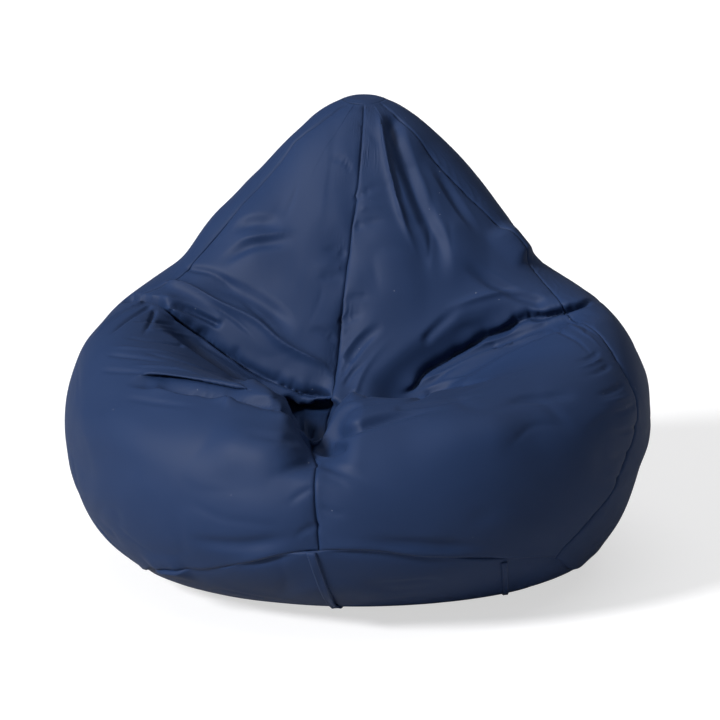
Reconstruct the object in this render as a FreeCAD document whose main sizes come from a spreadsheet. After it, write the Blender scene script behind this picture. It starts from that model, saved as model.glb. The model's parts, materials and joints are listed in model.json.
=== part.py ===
"""Bean bag chair: a teardrop cover of six gores, an inner liner and a loose bead fill.

The frame's origin is the middle of the bounding box at floor level.  +Z is up, the seat opens
towards -Y and +X is the sitter's left as seen from the front.  All lengths are millimetres.
"""
import FreeCAD
import Part
import Sketcher
import math
import os

doc = FreeCAD.newDocument("bean_bag_chair")
sheet = doc.addObject("Spreadsheet::Sheet", "Dimensions")
sheet_rows = []


def put(alias, value):
    """Write one driving dimension into the sheet under its own alias."""
    sheet_rows.append(alias)
    row = len(sheet_rows)
    sheet.set(f"A{row}", alias)
    sheet.set(f"B{row}", str(value))
    sheet.setAlias(f"B{row}", alias)


def size(alias):
    """Read one driving dimension back from the sheet as a number."""
    return float(sheet.get(alias))


# --- Driving dimensions -------------------------------------------------------------------

# Rings of the filled bag from the floor to the top: half width, then how far forward (y) and how
# high (z) each ring lies at its front, its two sides and its back.
RING_KEYS = ("half_width", "front_y", "side_y", "back_y", "front_z", "side_z", "back_z")
RINGS = {
    "floor": (275, -208, -10, 268, 0, 0, 0),
    "edge": (338, -268, -10, 318, 0, 0, 0),
    "low": (412, -418, -10, 400, 60, 42, 55),
    "belly": (467, -492, -5, 462, 165, 150, 160),
    "shoulder": (482, -462, 5, 484, 315, 280, 270),
    "arm": (420, -280, 30, 479, 365, 400, 360),
    "seat": (300, -115, 100, 460, 225, 430, 430),
    "lumbar": (273, -30, 160, 430, 270, 480, 500),
    "back": (198, 55, 205, 385, 440, 555, 565),
    "head": (120, 135, 242, 335, 600, 635, 635),
    "crown": (66, 180, 252, 308, 670, 680, 668),
    "cap": (24, 228, 260, 286, 687, 687, 687),
}
for ring_name, ring_sizes in RINGS.items():
    for key, value in zip(RING_KEYS, ring_sizes):
        put(f"{ring_name}_{key}", value)

# Layers, measured inwards from the outside of the cover
put("cover_thickness", 1.0)
put("liner_inset", 2.2)
put("liner_thickness", 0.8)
put("fill_inset", 4.2)

# Seams of the cover and of the liner
put("block_size", 2000)
put("front_seam_shift", 62)
put("side_seam_floor_y", -212)
put("side_seam_lean", 34)
put("back_seam_floor_y", 60)
put("back_seam_turn", 45)
put("base_seam_middle_z", 60)
put("base_seam_tilt", 4.6)
put("top_seam_z", 677)
put("felled_seam_x", 218)

# Zips: the cover's zip lies under a flap, the liner's zip lies in a slot of the liner's base
put("cover_zip_x", -25)
put("liner_zip_x", 100)
put("flap_width", 12)
put("chain_start_y", -165)
put("chain_length", 370)
put("hem_width", 14)
put("hem_height", 3.6)
put("tape_gap", 1.8)
put("tape_width", 14.1)
put("tape_thickness", 0.6)
put("coil_width", 2.2)
put("coil_height", 2.2)
put("stop_length", 3)
put("stop_width", 8.4)
put("stop_rise", 0.9)
put("slider_length", 9)
put("slider_width", 8.4)
put("slider_plate", 0.8)
put("slider_clearance", 0.4)
put("slider_side_wall", 0.8)
put("slider_neck_width", 1.0)
put("slider_neck_length", 3)
put("slider_end_gap", 0.6)
put("channel_half_width", 24)
put("channel_end_room", 15)
put("layer_gap", 1.2)
doc.recompute()

CORNERS_PER_RING = 12
CURVE_DEGREE = 3
LINER_RAISE = size("liner_inset") + size("liner_thickness") - size("cover_thickness")


# --- The bag's skins ----------------------------------------------------------------------

def ring_corner(ring_name, corner):
    """Control point of one ring: corner 0 faces the front and they run round towards +X."""
    half_width, front_y, side_y, back_y, front_z, side_z, back_z = [
        size(f"{ring_name}_{key}") for key in RING_KEYS
    ]
    turn = 2 * math.pi * corner / CORNERS_PER_RING
    forward = math.cos(turn)
    end_y, end_z = (front_y, front_z) if forward > 0 else (back_y, back_z)
    y = side_y + (end_y - side_y) * abs(forward)
    z = side_z + (end_z - side_z) * abs(forward) ** 1.5
    return FreeCAD.Vector(half_width * math.sin(turn), y, z)


def skin_net(inset):
    """Control points of the skin that lies inset inside the cover's outside."""
    outside = [[ring_corner(name, i) for i in range(CORNERS_PER_RING)] for name in RINGS]
    last = len(outside) - 1
    net = []
    for level, ring in enumerate(outside):
        above = outside[min(level + 1, last)]
        below = outside[max(level - 1, 0)]
        moved = []
        for i, corner in enumerate(ring):
            around = ring[(i + 1) % CORNERS_PER_RING] - ring[i - 1]
            upward = above[i] - below[i]
            outward = around.cross(upward).normalize()
            point = corner - outward * inset
            if level < 2:
                point.z = inset
            if level == 0 or level == last:
                point.x, point.y = corner.x, corner.y
            if level == last:
                point.z = corner.z - inset
            moved.append(point)
        net.append(moved)
    return net


def skin_solid(inset):
    """Closed solid bounded by a smooth skin, a flat patch on the floor and a flat patch on top."""
    net = skin_net(inset)
    levels = len(net)
    poles = [[net[level][i] for level in range(levels)] for i in range(CORNERS_PER_RING)]
    spans = levels - CURVE_DEGREE
    surface = Part.BSplineSurface()
    surface.buildFromPolesMultsKnots(
        poles,
        [1] * (CORNERS_PER_RING + 1),
        [CURVE_DEGREE + 1] + [1] * (spans - 1) + [CURVE_DEGREE + 1],
        [float(i) for i in range(CORNERS_PER_RING + 1)],
        [float(i) for i in range(spans + 1)],
        True, False, CURVE_DEGREE, CURVE_DEGREE,
    )
    wall = surface.toShape()
    rims = [edge for edge in wall.Edges if edge.BoundBox.ZLength < 1e-6]
    patches = [Part.Face(Part.Wire([rim])) for rim in rims]
    shell = Part.Shell([wall] + patches)
    shell.sewShape()
    solid = Part.Solid(shell)
    if solid.Volume < 0:
        solid.reverse()
    return solid


def skin(name, inset):
    """Document object that holds one skin solid; its sizes come from the sheet."""
    feature = doc.addObject("Part::Feature", name)
    feature.Shape = skin_solid(inset)
    return feature


# --- Helpers for cutters and combinations -------------------------------------------------

def half_space(name, point, direction):
    """Large block that fills the side of a plane that direction points into."""
    block = doc.addObject("Part::Box", name)
    for side in ("Length", "Width", "Height"):
        block.setExpression(side, "Dimensions.block_size")
    rotation = FreeCAD.Rotation(FreeCAD.Vector(0, 0, 1), direction)
    half = size("block_size") / 2
    corner = rotation.multVec(FreeCAD.Vector(-half, -half, 0))
    block.Placement = FreeCAD.Placement(point + corner, rotation)
    return block


def box(name, spans):
    """Block whose low corner and size are bound to the sheet: spans maps x, y, z to (low, size)."""
    block = doc.addObject("Part::Box", name)
    block.Label = name
    for axis, side in (("x", "Length"), ("y", "Width"), ("z", "Height")):
        low, length = spans[axis]
        block.setExpression(f"Placement.Base.{axis}", low)
        block.setExpression(side, length)
    return block


def combine(kind, name, parts):
    """Boolean of several objects: kind is MultiCommon or MultiFuse."""
    result = doc.addObject(f"Part::{kind}", name)
    result.Label = name
    result.Shapes = parts
    return result


def cut(name, base, tool):
    """Boolean that takes one object away from another."""
    result = doc.addObject("Part::Cut", name)
    result.Label = name
    result.Base = base
    result.Tool = tool
    return result


# --- Seam planes --------------------------------------------------------------------------

apex = FreeCAD.Vector(0, size("cap_side_y"), size("cap_side_z"))
front_foot = FreeCAD.Vector(-size("front_seam_shift"), 0, 0)
front_run = FreeCAD.Vector(size("front_seam_shift"), 0, apex.z)
to_right = FreeCAD.Vector(0, 1, 0).cross(front_run)
right_of_front = half_space("right_of_front_seam", front_foot, to_right)
left_of_front = half_space("left_of_front_seam", front_foot, to_right * -1)

side_lean = math.radians(size("side_seam_lean"))
side_foot = FreeCAD.Vector(0, size("side_seam_floor_y"), 0)
to_front = FreeCAD.Vector(0, -math.cos(side_lean), math.sin(side_lean))
ahead_of_side = half_space("ahead_of_side_seams", side_foot, to_front)
behind_side = half_space("behind_side_seams", side_foot, to_front * -1)

right_of_middle = half_space("right_of_back_seam", FreeCAD.Vector(), FreeCAD.Vector(1, 0, 0))
left_of_middle = half_space("left_of_back_seam", FreeCAD.Vector(), FreeCAD.Vector(-1, 0, 0))

back_foot = FreeCAD.Vector(0, size("back_seam_floor_y"), 0)
back_run = apex - back_foot
back_turn = math.radians(size("back_seam_turn"))


def back_corner_planes(side):
    """The two sides of the seam between a side gore and a back gore; side is -1 or 1."""
    outward = FreeCAD.Vector(side * math.sin(back_turn), math.cos(back_turn), 0)
    to_back = outward.cross(back_run) * -side
    word = "right" if side > 0 else "left"
    return (
        half_space(f"behind_{word}_back_seam", back_foot, to_back),
        half_space(f"ahead_of_{word}_back_seam", back_foot, to_back * -1),
    )


behind_right_corner, ahead_of_right_corner = back_corner_planes(1)
behind_left_corner, ahead_of_left_corner = back_corner_planes(-1)

base_tilt = math.radians(size("base_seam_tilt"))
base_point = FreeCAD.Vector(0, 0, size("base_seam_middle_z"))
base_up = FreeCAD.Vector(0, math.sin(base_tilt), math.cos(base_tilt))
above_base = half_space("above_base_seam", base_point, base_up)
below_base = half_space("below_base_seam", base_point, base_up * -1)
top_point = FreeCAD.Vector(0, 0, size("top_seam_z"))
above_top = half_space("above_top_seam", top_point, FreeCAD.Vector(0, 0, 1))
below_top = half_space("below_top_seam", top_point, FreeCAD.Vector(0, 0, -1))

GORES = {
    "front_left": (left_of_front, ahead_of_side),
    "front_right": (right_of_front, ahead_of_side),
    "side_left": (left_of_middle, behind_side, ahead_of_left_corner),
    "side_right": (right_of_middle, behind_side, ahead_of_right_corner),
    "back_left": (left_of_middle, behind_side, behind_left_corner),
    "back_right": (right_of_middle, behind_side, behind_right_corner),
}


def gores(layer, shell, limits):
    """The six gores of one layer, each the part of its shell between the gore's seams."""
    return [
        combine("MultiCommon", f"{layer}_{gore}_panel", [shell, *limits, *planes])
        for gore, planes in GORES.items()
    ]


# --- Zip pieces, the same for the cover and the liner --------------------------------------

def hem(name, zip_x, side, raise_by):
    """Folded seam allowance along one side of a zip; the tape is sewn on top of it."""
    near = f"Dimensions.{zip_x} + Dimensions.flap_width / 2"
    if side < 0:
        near = f"Dimensions.{zip_x} - Dimensions.flap_width / 2 - Dimensions.hem_width"
    return box(name, {
        "x": (near, "Dimensions.hem_width"),
        "y": ("Dimensions.chain_start_y", "Dimensions.chain_length"),
        "z": (f"Dimensions.cover_thickness + {raise_by}", "Dimensions.hem_height"),
    })


def tape(name, zip_x, side, tape_z):
    """Woven tape that carries one coil row."""
    near = f"Dimensions.{zip_x} + Dimensions.tape_gap / 2"
    if side < 0:
        near = f"Dimensions.{zip_x} - Dimensions.tape_gap / 2 - Dimensions.tape_width"
    return box(name, {
        "x": (near, "Dimensions.tape_width"),
        "y": ("Dimensions.chain_start_y", "Dimensions.chain_length"),
        "z": (f"{tape_z}", "Dimensions.tape_thickness"),
    })


def plane_of(body, role):
    """One of a body's own origin planes."""
    return next(f for f in body.Origin.OriginFeatures if f.Role == role)


def sketch_on(body, name, role, height=0.0):
    """Empty sketch on a body's own origin plane, lifted along the plane's normal."""
    sketch = body.newObject("Sketcher::SketchObject", name)
    sketch.AttachmentSupport = (plane_of(body, role), [""])
    sketch.MapMode = "FlatFace"
    sketch.AttachmentOffset = FreeCAD.Placement(FreeCAD.Vector(0, 0, height), FreeCAD.Rotation())
    return sketch


def centred_rectangle(sketch, width, length):
    """Rectangle about the sketch's origin whose sides are bound to sheet expressions."""
    corners = [(-1, -1), (1, -1), (1, 1), (-1, 1)]
    for i, (x, y) in enumerate(corners):
        next_x, next_y = corners[(i + 1) % 4]
        sketch.addGeometry(Part.LineSegment(FreeCAD.Vector(x, y, 0), FreeCAD.Vector(next_x, next_y, 0)))
    for i in range(4):
        sketch.addConstraint(Sketcher.Constraint("Coincident", i, 2, (i + 1) % 4, 1))
    for i in (0, 2):
        sketch.addConstraint(Sketcher.Constraint("Horizontal", i))
    for i in (1, 3):
        sketch.addConstraint(Sketcher.Constraint("Vertical", i))
    sketch.addConstraint(Sketcher.Constraint("Symmetric", 0, 1, 1, 2, -1, 1))
    for line, kind, expression in ((0, "DistanceX", width), (1, "DistanceY", length)):
        index = sketch.addConstraint(Sketcher.Constraint(kind, line, 1, line, 2, 2.0))
        sketch.renameConstraint(index, kind.lower())
        sketch.setExpression(f"Constraints.{kind.lower()}", expression)


def pad(body, name, sketch, length):
    """Pad a sketch by a sheet expression."""
    feature = body.newObject("PartDesign::Pad", name)
    feature.Profile = sketch
    feature.setExpression("Length", length)
    doc.recompute()
    return feature


def coil_row(name, zip_x, side, coil_z):
    """One coil row: a round strand sewn to the underside of its tape."""
    strand = doc.addObject("Part::Cylinder", name)
    strand.Label = name
    strand.setExpression("Radius", "Dimensions.coil_height / 2")
    strand.setExpression("Height", "Dimensions.chain_length")
    strand.Placement = FreeCAD.Placement(
        FreeCAD.Vector(), FreeCAD.Rotation(FreeCAD.Vector(1, 0, 0), -90)
    )
    offset = "Dimensions.tape_gap / 2 + Dimensions.coil_height / 2"
    sign = "+" if side > 0 else "-"
    strand.setExpression("Placement.Base.x", f"Dimensions.{zip_x} {sign} ({offset})")
    strand.setExpression("Placement.Base.y", "Dimensions.chain_start_y")
    strand.setExpression("Placement.Base.z", f"{coil_z} + Dimensions.coil_height / 2")
    return strand


def stop(name, zip_x, tape_z, y_expression):
    """Metal clip at one end of the chain: a plate over both tapes with a stem down between the rows."""
    clip = box(f"{name}_clip", {
        "x": (f"Dimensions.{zip_x} - Dimensions.stop_width / 2", "Dimensions.stop_width"),
        "y": (y_expression, "Dimensions.stop_length"),
        "z": (f"{tape_z} - Dimensions.stop_rise",
              "Dimensions.tape_thickness + 2 * Dimensions.stop_rise"),
    })
    rooms = []
    for side, word in ((-1, "left"), (1, "right")):
        near = f"Dimensions.{zip_x} + Dimensions.tape_gap / 2"
        if side < 0:
            near = f"Dimensions.{zip_x} - Dimensions.tape_gap / 2 - Dimensions.tape_width"
        rooms.append(box(f"{name}_{word}_room", {
            "x": (near, "Dimensions.tape_width"),
            "y": ("Dimensions.chain_start_y", "Dimensions.chain_length"),
            "z": (f"{tape_z} - Dimensions.coil_height",
                  "Dimensions.tape_thickness + Dimensions.coil_height"),
        }))
    return cut(name, clip, combine("MultiFuse", f"{name}_rooms", rooms))


def slider(name, zip_x, tape_z):
    """Zip slider: a lower plate with side walls, a neck between the rows and an upper plate."""
    body = doc.addObject("PartDesign::Body", name)
    body.Label = name
    gap = size("slider_clearance")
    plate = size("slider_plate")
    floor_z = -size("coil_height") - gap - plate
    trough_z = floor_z + plate
    wall_top_z = -gap
    lid_z = size("tape_thickness") + gap

    lower = sketch_on(body, f"{name}_lower_outline", "XY_Plane", floor_z)
    centred_rectangle(lower, "Dimensions.slider_width", "Dimensions.slider_length")
    pad(body, f"{name}_lower", lower, "Dimensions.coil_height + Dimensions.slider_plate")
    trough = sketch_on(body, f"{name}_trough_outline", "XY_Plane", wall_top_z)
    centred_rectangle(
        trough,
        "Dimensions.slider_width - 2 * Dimensions.slider_side_wall",
        "Dimensions.slider_length + 2",
    )
    pocket = body.newObject("PartDesign::Pocket", f"{name}_trough")
    pocket.Profile = trough
    pocket.setExpression("Length", "Dimensions.coil_height")
    doc.recompute()
    neck = sketch_on(body, f"{name}_neck_outline", "XY_Plane", trough_z)
    centred_rectangle(neck, "Dimensions.slider_neck_width", "Dimensions.slider_neck_length")
    pad(body, f"{name}_neck", neck,
        "Dimensions.coil_height + 2 * Dimensions.slider_clearance + Dimensions.tape_thickness")
    upper = sketch_on(body, f"{name}_upper_outline", "XY_Plane", lid_z)
    centred_rectangle(upper, "Dimensions.slider_width", "Dimensions.slider_length")
    pad(body, f"{name}_upper", upper, "Dimensions.slider_plate")

    first_y = "Dimensions.stop_length + Dimensions.slider_end_gap + Dimensions.slider_length / 2"
    body.setExpression("Placement.Base.x", f"Dimensions.{zip_x}")
    body.setExpression("Placement.Base.y", f"Dimensions.chain_start_y + {first_y}")
    body.setExpression("Placement.Base.z", f"{tape_z}")
    return body


def zip_assembly(prefix, zip_x, raise_by):
    """Tapes, coil rows, end stops and slider of one zip, raised by a plain number."""
    tape_z = size("cover_thickness") + size("hem_height") + raise_by
    coil_z = tape_z - size("coil_height")
    back_y = "Dimensions.chain_start_y + Dimensions.chain_length - Dimensions.stop_length"
    pieces = []
    for side, word in ((-1, "left"), (1, "right")):
        pieces.append(tape(f"{prefix}_zip_tape_{word}", zip_x, side, tape_z))
        pieces.append(coil_row(f"{prefix}_zip_coil_{word}", zip_x, side, coil_z))
    pieces.append(stop(f"{prefix}_zip_stop_front", zip_x, tape_z, "Dimensions.chain_start_y"))
    pieces.append(stop(f"{prefix}_zip_stop_back", zip_x, tape_z, back_y))
    pieces.append(slider(f"{prefix}_zip_slider", zip_x, tape_z))
    return pieces


# --- Cover --------------------------------------------------------------------------------

cover_outside = skin("cover_outside", 0)
cover_inside = skin("cover_inside", size("cover_thickness"))
cover_shell = cut("cover_shell", cover_outside, cover_inside)
sub_parts = gores("cover", cover_shell, (above_base, below_top))
sub_parts.append(combine("MultiCommon", "cover_top_cap", [cover_shell, above_top]))

far = "Dimensions.block_size / 2"
whole = "Dimensions.block_size"
low_z = "-Dimensions.layer_gap"


def strip(name, low_x, width):
    """Upright block that spans the whole bag in Y and Z."""
    return box(name, {"x": (low_x, width), "y": (f"-{far}", whole), "z": (low_z, whole)})


flap_low = "Dimensions.cover_zip_x - Dimensions.flap_width / 2"
flap_high = "Dimensions.cover_zip_x + Dimensions.flap_width / 2"
left_strip = strip("left_of_flap", f"-{far}", f"{far} + {flap_low}")
flap_strip = strip("flap_block", flap_low, "Dimensions.flap_width")
middle_strip = strip("between_seams", flap_high, f"Dimensions.felled_seam_x - ({flap_high})")
right_strip = strip("right_of_felled_seam", "Dimensions.felled_seam_x", far)

base_left_cloth = combine("MultiCommon", "base_left_cloth", [cover_shell, below_base, left_strip])
base_middle_cloth = combine("MultiCommon", "base_middle_cloth", [cover_shell, below_base, middle_strip])
sub_parts.append(combine("MultiFuse", "base_left_panel", [
    base_left_cloth, hem("cover_left_hem", "cover_zip_x", -1, 0),
]))
sub_parts.append(combine("MultiFuse", "base_middle_panel", [
    base_middle_cloth, hem("cover_right_hem", "cover_zip_x", 1, 0),
]))
sub_parts.append(combine("MultiCommon", "base_right_panel", [cover_shell, below_base, right_strip]))
sub_parts.append(combine("MultiCommon", "zip_flap", [cover_shell, below_base, flap_strip]))
sub_parts += zip_assembly("cover", "cover_zip_x", 0)


# --- Liner --------------------------------------------------------------------------------

ZIP_TOP = "Dimensions.cover_thickness + Dimensions.hem_height + Dimensions.tape_thickness" \
    " + Dimensions.slider_clearance + Dimensions.slider_plate + Dimensions.layer_gap"


def channel(name, zip_x, grow, raise_by):
    """Room for one zip, grown on all sides, open at the floor."""
    room = f"(Dimensions.channel_half_width + {grow})"
    end = f"(Dimensions.channel_end_room + {grow})"
    return box(name, {
        "x": (f"Dimensions.{zip_x} - {room}", f"2 * {room}"),
        "y": (f"Dimensions.chain_start_y - {end}", f"Dimensions.chain_length + 2 * {end}"),
        "z": (low_z, f"{ZIP_TOP} + {grow + raise_by} + Dimensions.layer_gap"),
    })


liner_outer_inset = size("liner_inset")
liner_inner_inset = liner_outer_inset + size("liner_thickness")
liner_outside = cut(
    "liner_outside",
    skin("liner_outer_skin", liner_outer_inset),
    channel("tray_outside", "cover_zip_x", 0, 0),
)
liner_inside = cut(
    "liner_inside",
    skin("liner_inner_skin", liner_inner_inset),
    channel("tray_inside", "cover_zip_x", size("liner_thickness"), 0),
)
liner_shell = cut("liner_shell", liner_outside, liner_inside)
sub_parts += gores("liner", liner_shell, (above_base, below_top))
sub_parts.append(combine("MultiCommon", "liner_top_cap", [liner_shell, above_top]))

liner_slot = box("liner_slot", {
    "x": ("Dimensions.liner_zip_x - Dimensions.flap_width / 2", "Dimensions.flap_width"),
    "y": ("Dimensions.chain_start_y", "Dimensions.chain_length"),
    "z": (low_z, "Dimensions.hem_height + 2 * Dimensions.layer_gap"),
})
liner_base_cloth = combine("MultiCommon", "liner_base_cloth", [liner_shell, below_base])
liner_base_sheet = cut("liner_base_sheet", liner_base_cloth, liner_slot)
sub_parts.append(combine("MultiFuse", "liner_base", [
    liner_base_sheet,
    hem("liner_left_hem", "liner_zip_x", -1, LINER_RAISE),
    hem("liner_right_hem", "liner_zip_x", 1, LINER_RAISE),
]))
sub_parts += zip_assembly("liner", "liner_zip_x", LINER_RAISE)


# --- Bead fill ----------------------------------------------------------------------------

fill_grow = size("liner_thickness") + size("layer_gap")
fill_channels = combine("MultiFuse", "fill_channels", [
    channel("fill_channel_left", "cover_zip_x", fill_grow, 0),
    channel("fill_channel_right", "liner_zip_x", 0, LINER_RAISE),
])
sub_parts.append(cut("bead_fill", skin("fill_skin", size("fill_inset")), fill_channels))


# --- Checks and files ---------------------------------------------------------------------

doc.recompute()
for item in doc.Objects:
    if "Invalid" in item.State or "Error" in item.State:
        raise RuntimeError(f"{item.Label} failed: {item.State}")
os.makedirs("parts", exist_ok=True)
for part in sub_parts:
    if part.Shape.isNull() or not part.Shape.isValid():
        raise RuntimeError(f"{part.Label} has no valid shape")
    box_of_part = part.Shape.BoundBox
    print(f"{part.Label}: {len(part.Shape.Solids)} solid(s), {part.Shape.Volume:.0f} mm3,"
          f" x {box_of_part.XMin:.1f}..{box_of_part.XMax:.1f}"
          f" y {box_of_part.YMin:.1f}..{box_of_part.YMax:.1f}"
          f" z {box_of_part.ZMin:.1f}..{box_of_part.ZMax:.1f}")
    part.Shape.exportStep(f"parts/{part.Label}.step")
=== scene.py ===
"""Navy teardrop bean bag chair: its sewn cover, base and fill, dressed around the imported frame.

The cover is one skin of cloth laid out on a grid whose columns follow the upright seams and whose rows
follow the base seam and the top seam.  The sat-in form comes from a few rings; folds, creases and
gathers are then pressed into the skin one family after another, and each cloth panel is cut from it.
"""

import json
import logging
import math
from dataclasses import dataclass, field
from enum import Enum

import bmesh
import bpy
import numpy as np
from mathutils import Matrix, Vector
from mathutils.bvhtree import BVHTree

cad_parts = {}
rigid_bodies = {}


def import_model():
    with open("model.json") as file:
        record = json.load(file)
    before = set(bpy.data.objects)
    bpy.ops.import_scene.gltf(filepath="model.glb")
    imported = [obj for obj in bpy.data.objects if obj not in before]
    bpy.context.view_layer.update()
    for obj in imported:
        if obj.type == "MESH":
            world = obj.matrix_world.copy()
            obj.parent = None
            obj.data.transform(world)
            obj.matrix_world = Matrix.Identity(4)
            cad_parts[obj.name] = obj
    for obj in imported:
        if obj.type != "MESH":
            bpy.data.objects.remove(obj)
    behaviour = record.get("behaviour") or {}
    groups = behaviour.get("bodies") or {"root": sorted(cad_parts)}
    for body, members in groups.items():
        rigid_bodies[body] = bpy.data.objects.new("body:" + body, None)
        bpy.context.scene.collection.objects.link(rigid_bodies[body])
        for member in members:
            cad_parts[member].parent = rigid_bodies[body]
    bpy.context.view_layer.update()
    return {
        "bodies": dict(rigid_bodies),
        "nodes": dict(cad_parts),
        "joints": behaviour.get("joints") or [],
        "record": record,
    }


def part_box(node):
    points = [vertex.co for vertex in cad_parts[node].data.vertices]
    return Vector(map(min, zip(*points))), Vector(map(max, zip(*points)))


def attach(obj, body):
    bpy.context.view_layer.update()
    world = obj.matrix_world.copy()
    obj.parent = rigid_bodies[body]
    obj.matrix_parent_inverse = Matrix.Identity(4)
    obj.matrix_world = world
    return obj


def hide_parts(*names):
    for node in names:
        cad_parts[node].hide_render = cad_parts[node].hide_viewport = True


LOG = logging.getLogger("bean_bag")
BAG_BODY = "bag"
LAP_EDGE = 0.0045
PEAK_LEAN = 0.0065
BELLY_LEAN = 0.0060
BROAD_FAMILIES = 4
SHARP_FAMILIES = 6


# --- Small numeric helpers -----------------------------------------------------------------


def smooth(x: np.ndarray) -> np.ndarray:
    """Ease from 0 to 1 with flat ends."""
    x = np.clip(x, 0.0, 1.0)
    return x * x * (3.0 - 2.0 * x)


def unit(vectors: np.ndarray) -> np.ndarray:
    """Scale vectors along the last axis to length one."""
    length = np.linalg.norm(vectors, axis=-1, keepdims=True)
    return vectors / np.maximum(length, 1e-12)


def walk(line: np.ndarray) -> np.ndarray:
    """Distance walked along a line up to each of its points."""
    return np.concatenate([[0], np.cumsum(np.linalg.norm(np.diff(line, axis=0), axis=1))])


def ease_between(x: np.ndarray, knots: list[tuple[float, float]]) -> np.ndarray:
    """Smooth curve through a few knots.

    Args:
        x: Places to read the curve at.
        knots: (place, value) pairs in rising order of place.

    Returns:
        The curve's values, level beyond the first and last knot.
    """
    places = np.array([k[0] for k in knots], float)
    values = np.array([k[1] for k in knots], float)
    slopes = np.gradient(values, places)
    x = np.clip(x, places[0], places[-1])
    i = np.clip(np.searchsorted(places, x, side="right") - 1, 0, len(places) - 2)
    span = places[i + 1] - places[i]
    t = (x - places[i]) / span
    a, b = values[i], values[i + 1]
    return (
        a * (1 + 2 * t) * (1 - t) ** 2
        + b * t * t * (3 - 2 * t)
        + span * t * (1 - t) * (slopes[i] * (1 - t) - slopes[i + 1] * t)
    )


class Ripple:
    """Smooth seeded noise over space, the same on every run."""

    def __init__(self, seed: int, waves: int = 24) -> None:
        """Pick the noise's wave directions and phases."""
        rng = np.random.default_rng(seed)
        self.directions = unit(rng.normal(size=(waves, 3)))
        self.pitch = rng.uniform(0.7, 1.6, size=waves)
        self.phase = rng.uniform(0, 2 * math.pi, size=waves)

    def at(self, points: np.ndarray, wavelength: float) -> np.ndarray:
        """Read the noise.

        Args:
            points: Places in metres, last axis x, y, z.
            wavelength: Typical distance from crest to crest in metres.

        Returns:
            Values of about -1 to 1.
        """
        total = np.zeros(points.shape[:-1])
        for direction, pitch, phase in zip(self.directions, self.pitch, self.phase):
            total += np.sin(points @ direction * (2 * math.pi * pitch / wavelength) + phase)
        return total / math.sqrt(len(self.pitch) / 2.0) * 0.6


# --- The sat-in form -----------------------------------------------------------------------


@dataclass(frozen=True)
class Ring:
    """One ring round the filled bag: half width, then y and z at its front, sides and back."""

    half_width: float
    front: tuple[float, float]
    side: tuple[float, float]
    back: tuple[float, float]

    def corner(self, turn: float) -> tuple[float, float, float]:
        """Control point at a turn round the bag.

        Args:
            turn: Angle in radians from the front towards the right.

        Returns:
            The point.
        """
        forward = math.cos(turn)
        end = self.front if forward > 0 else self.back
        y = self.side[0] + (end[0] - self.side[0]) * abs(forward)
        z = self.side[1] + (end[1] - self.side[1]) * abs(forward) ** 1.5
        return (self.half_width * math.sin(turn), y, z)


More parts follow.
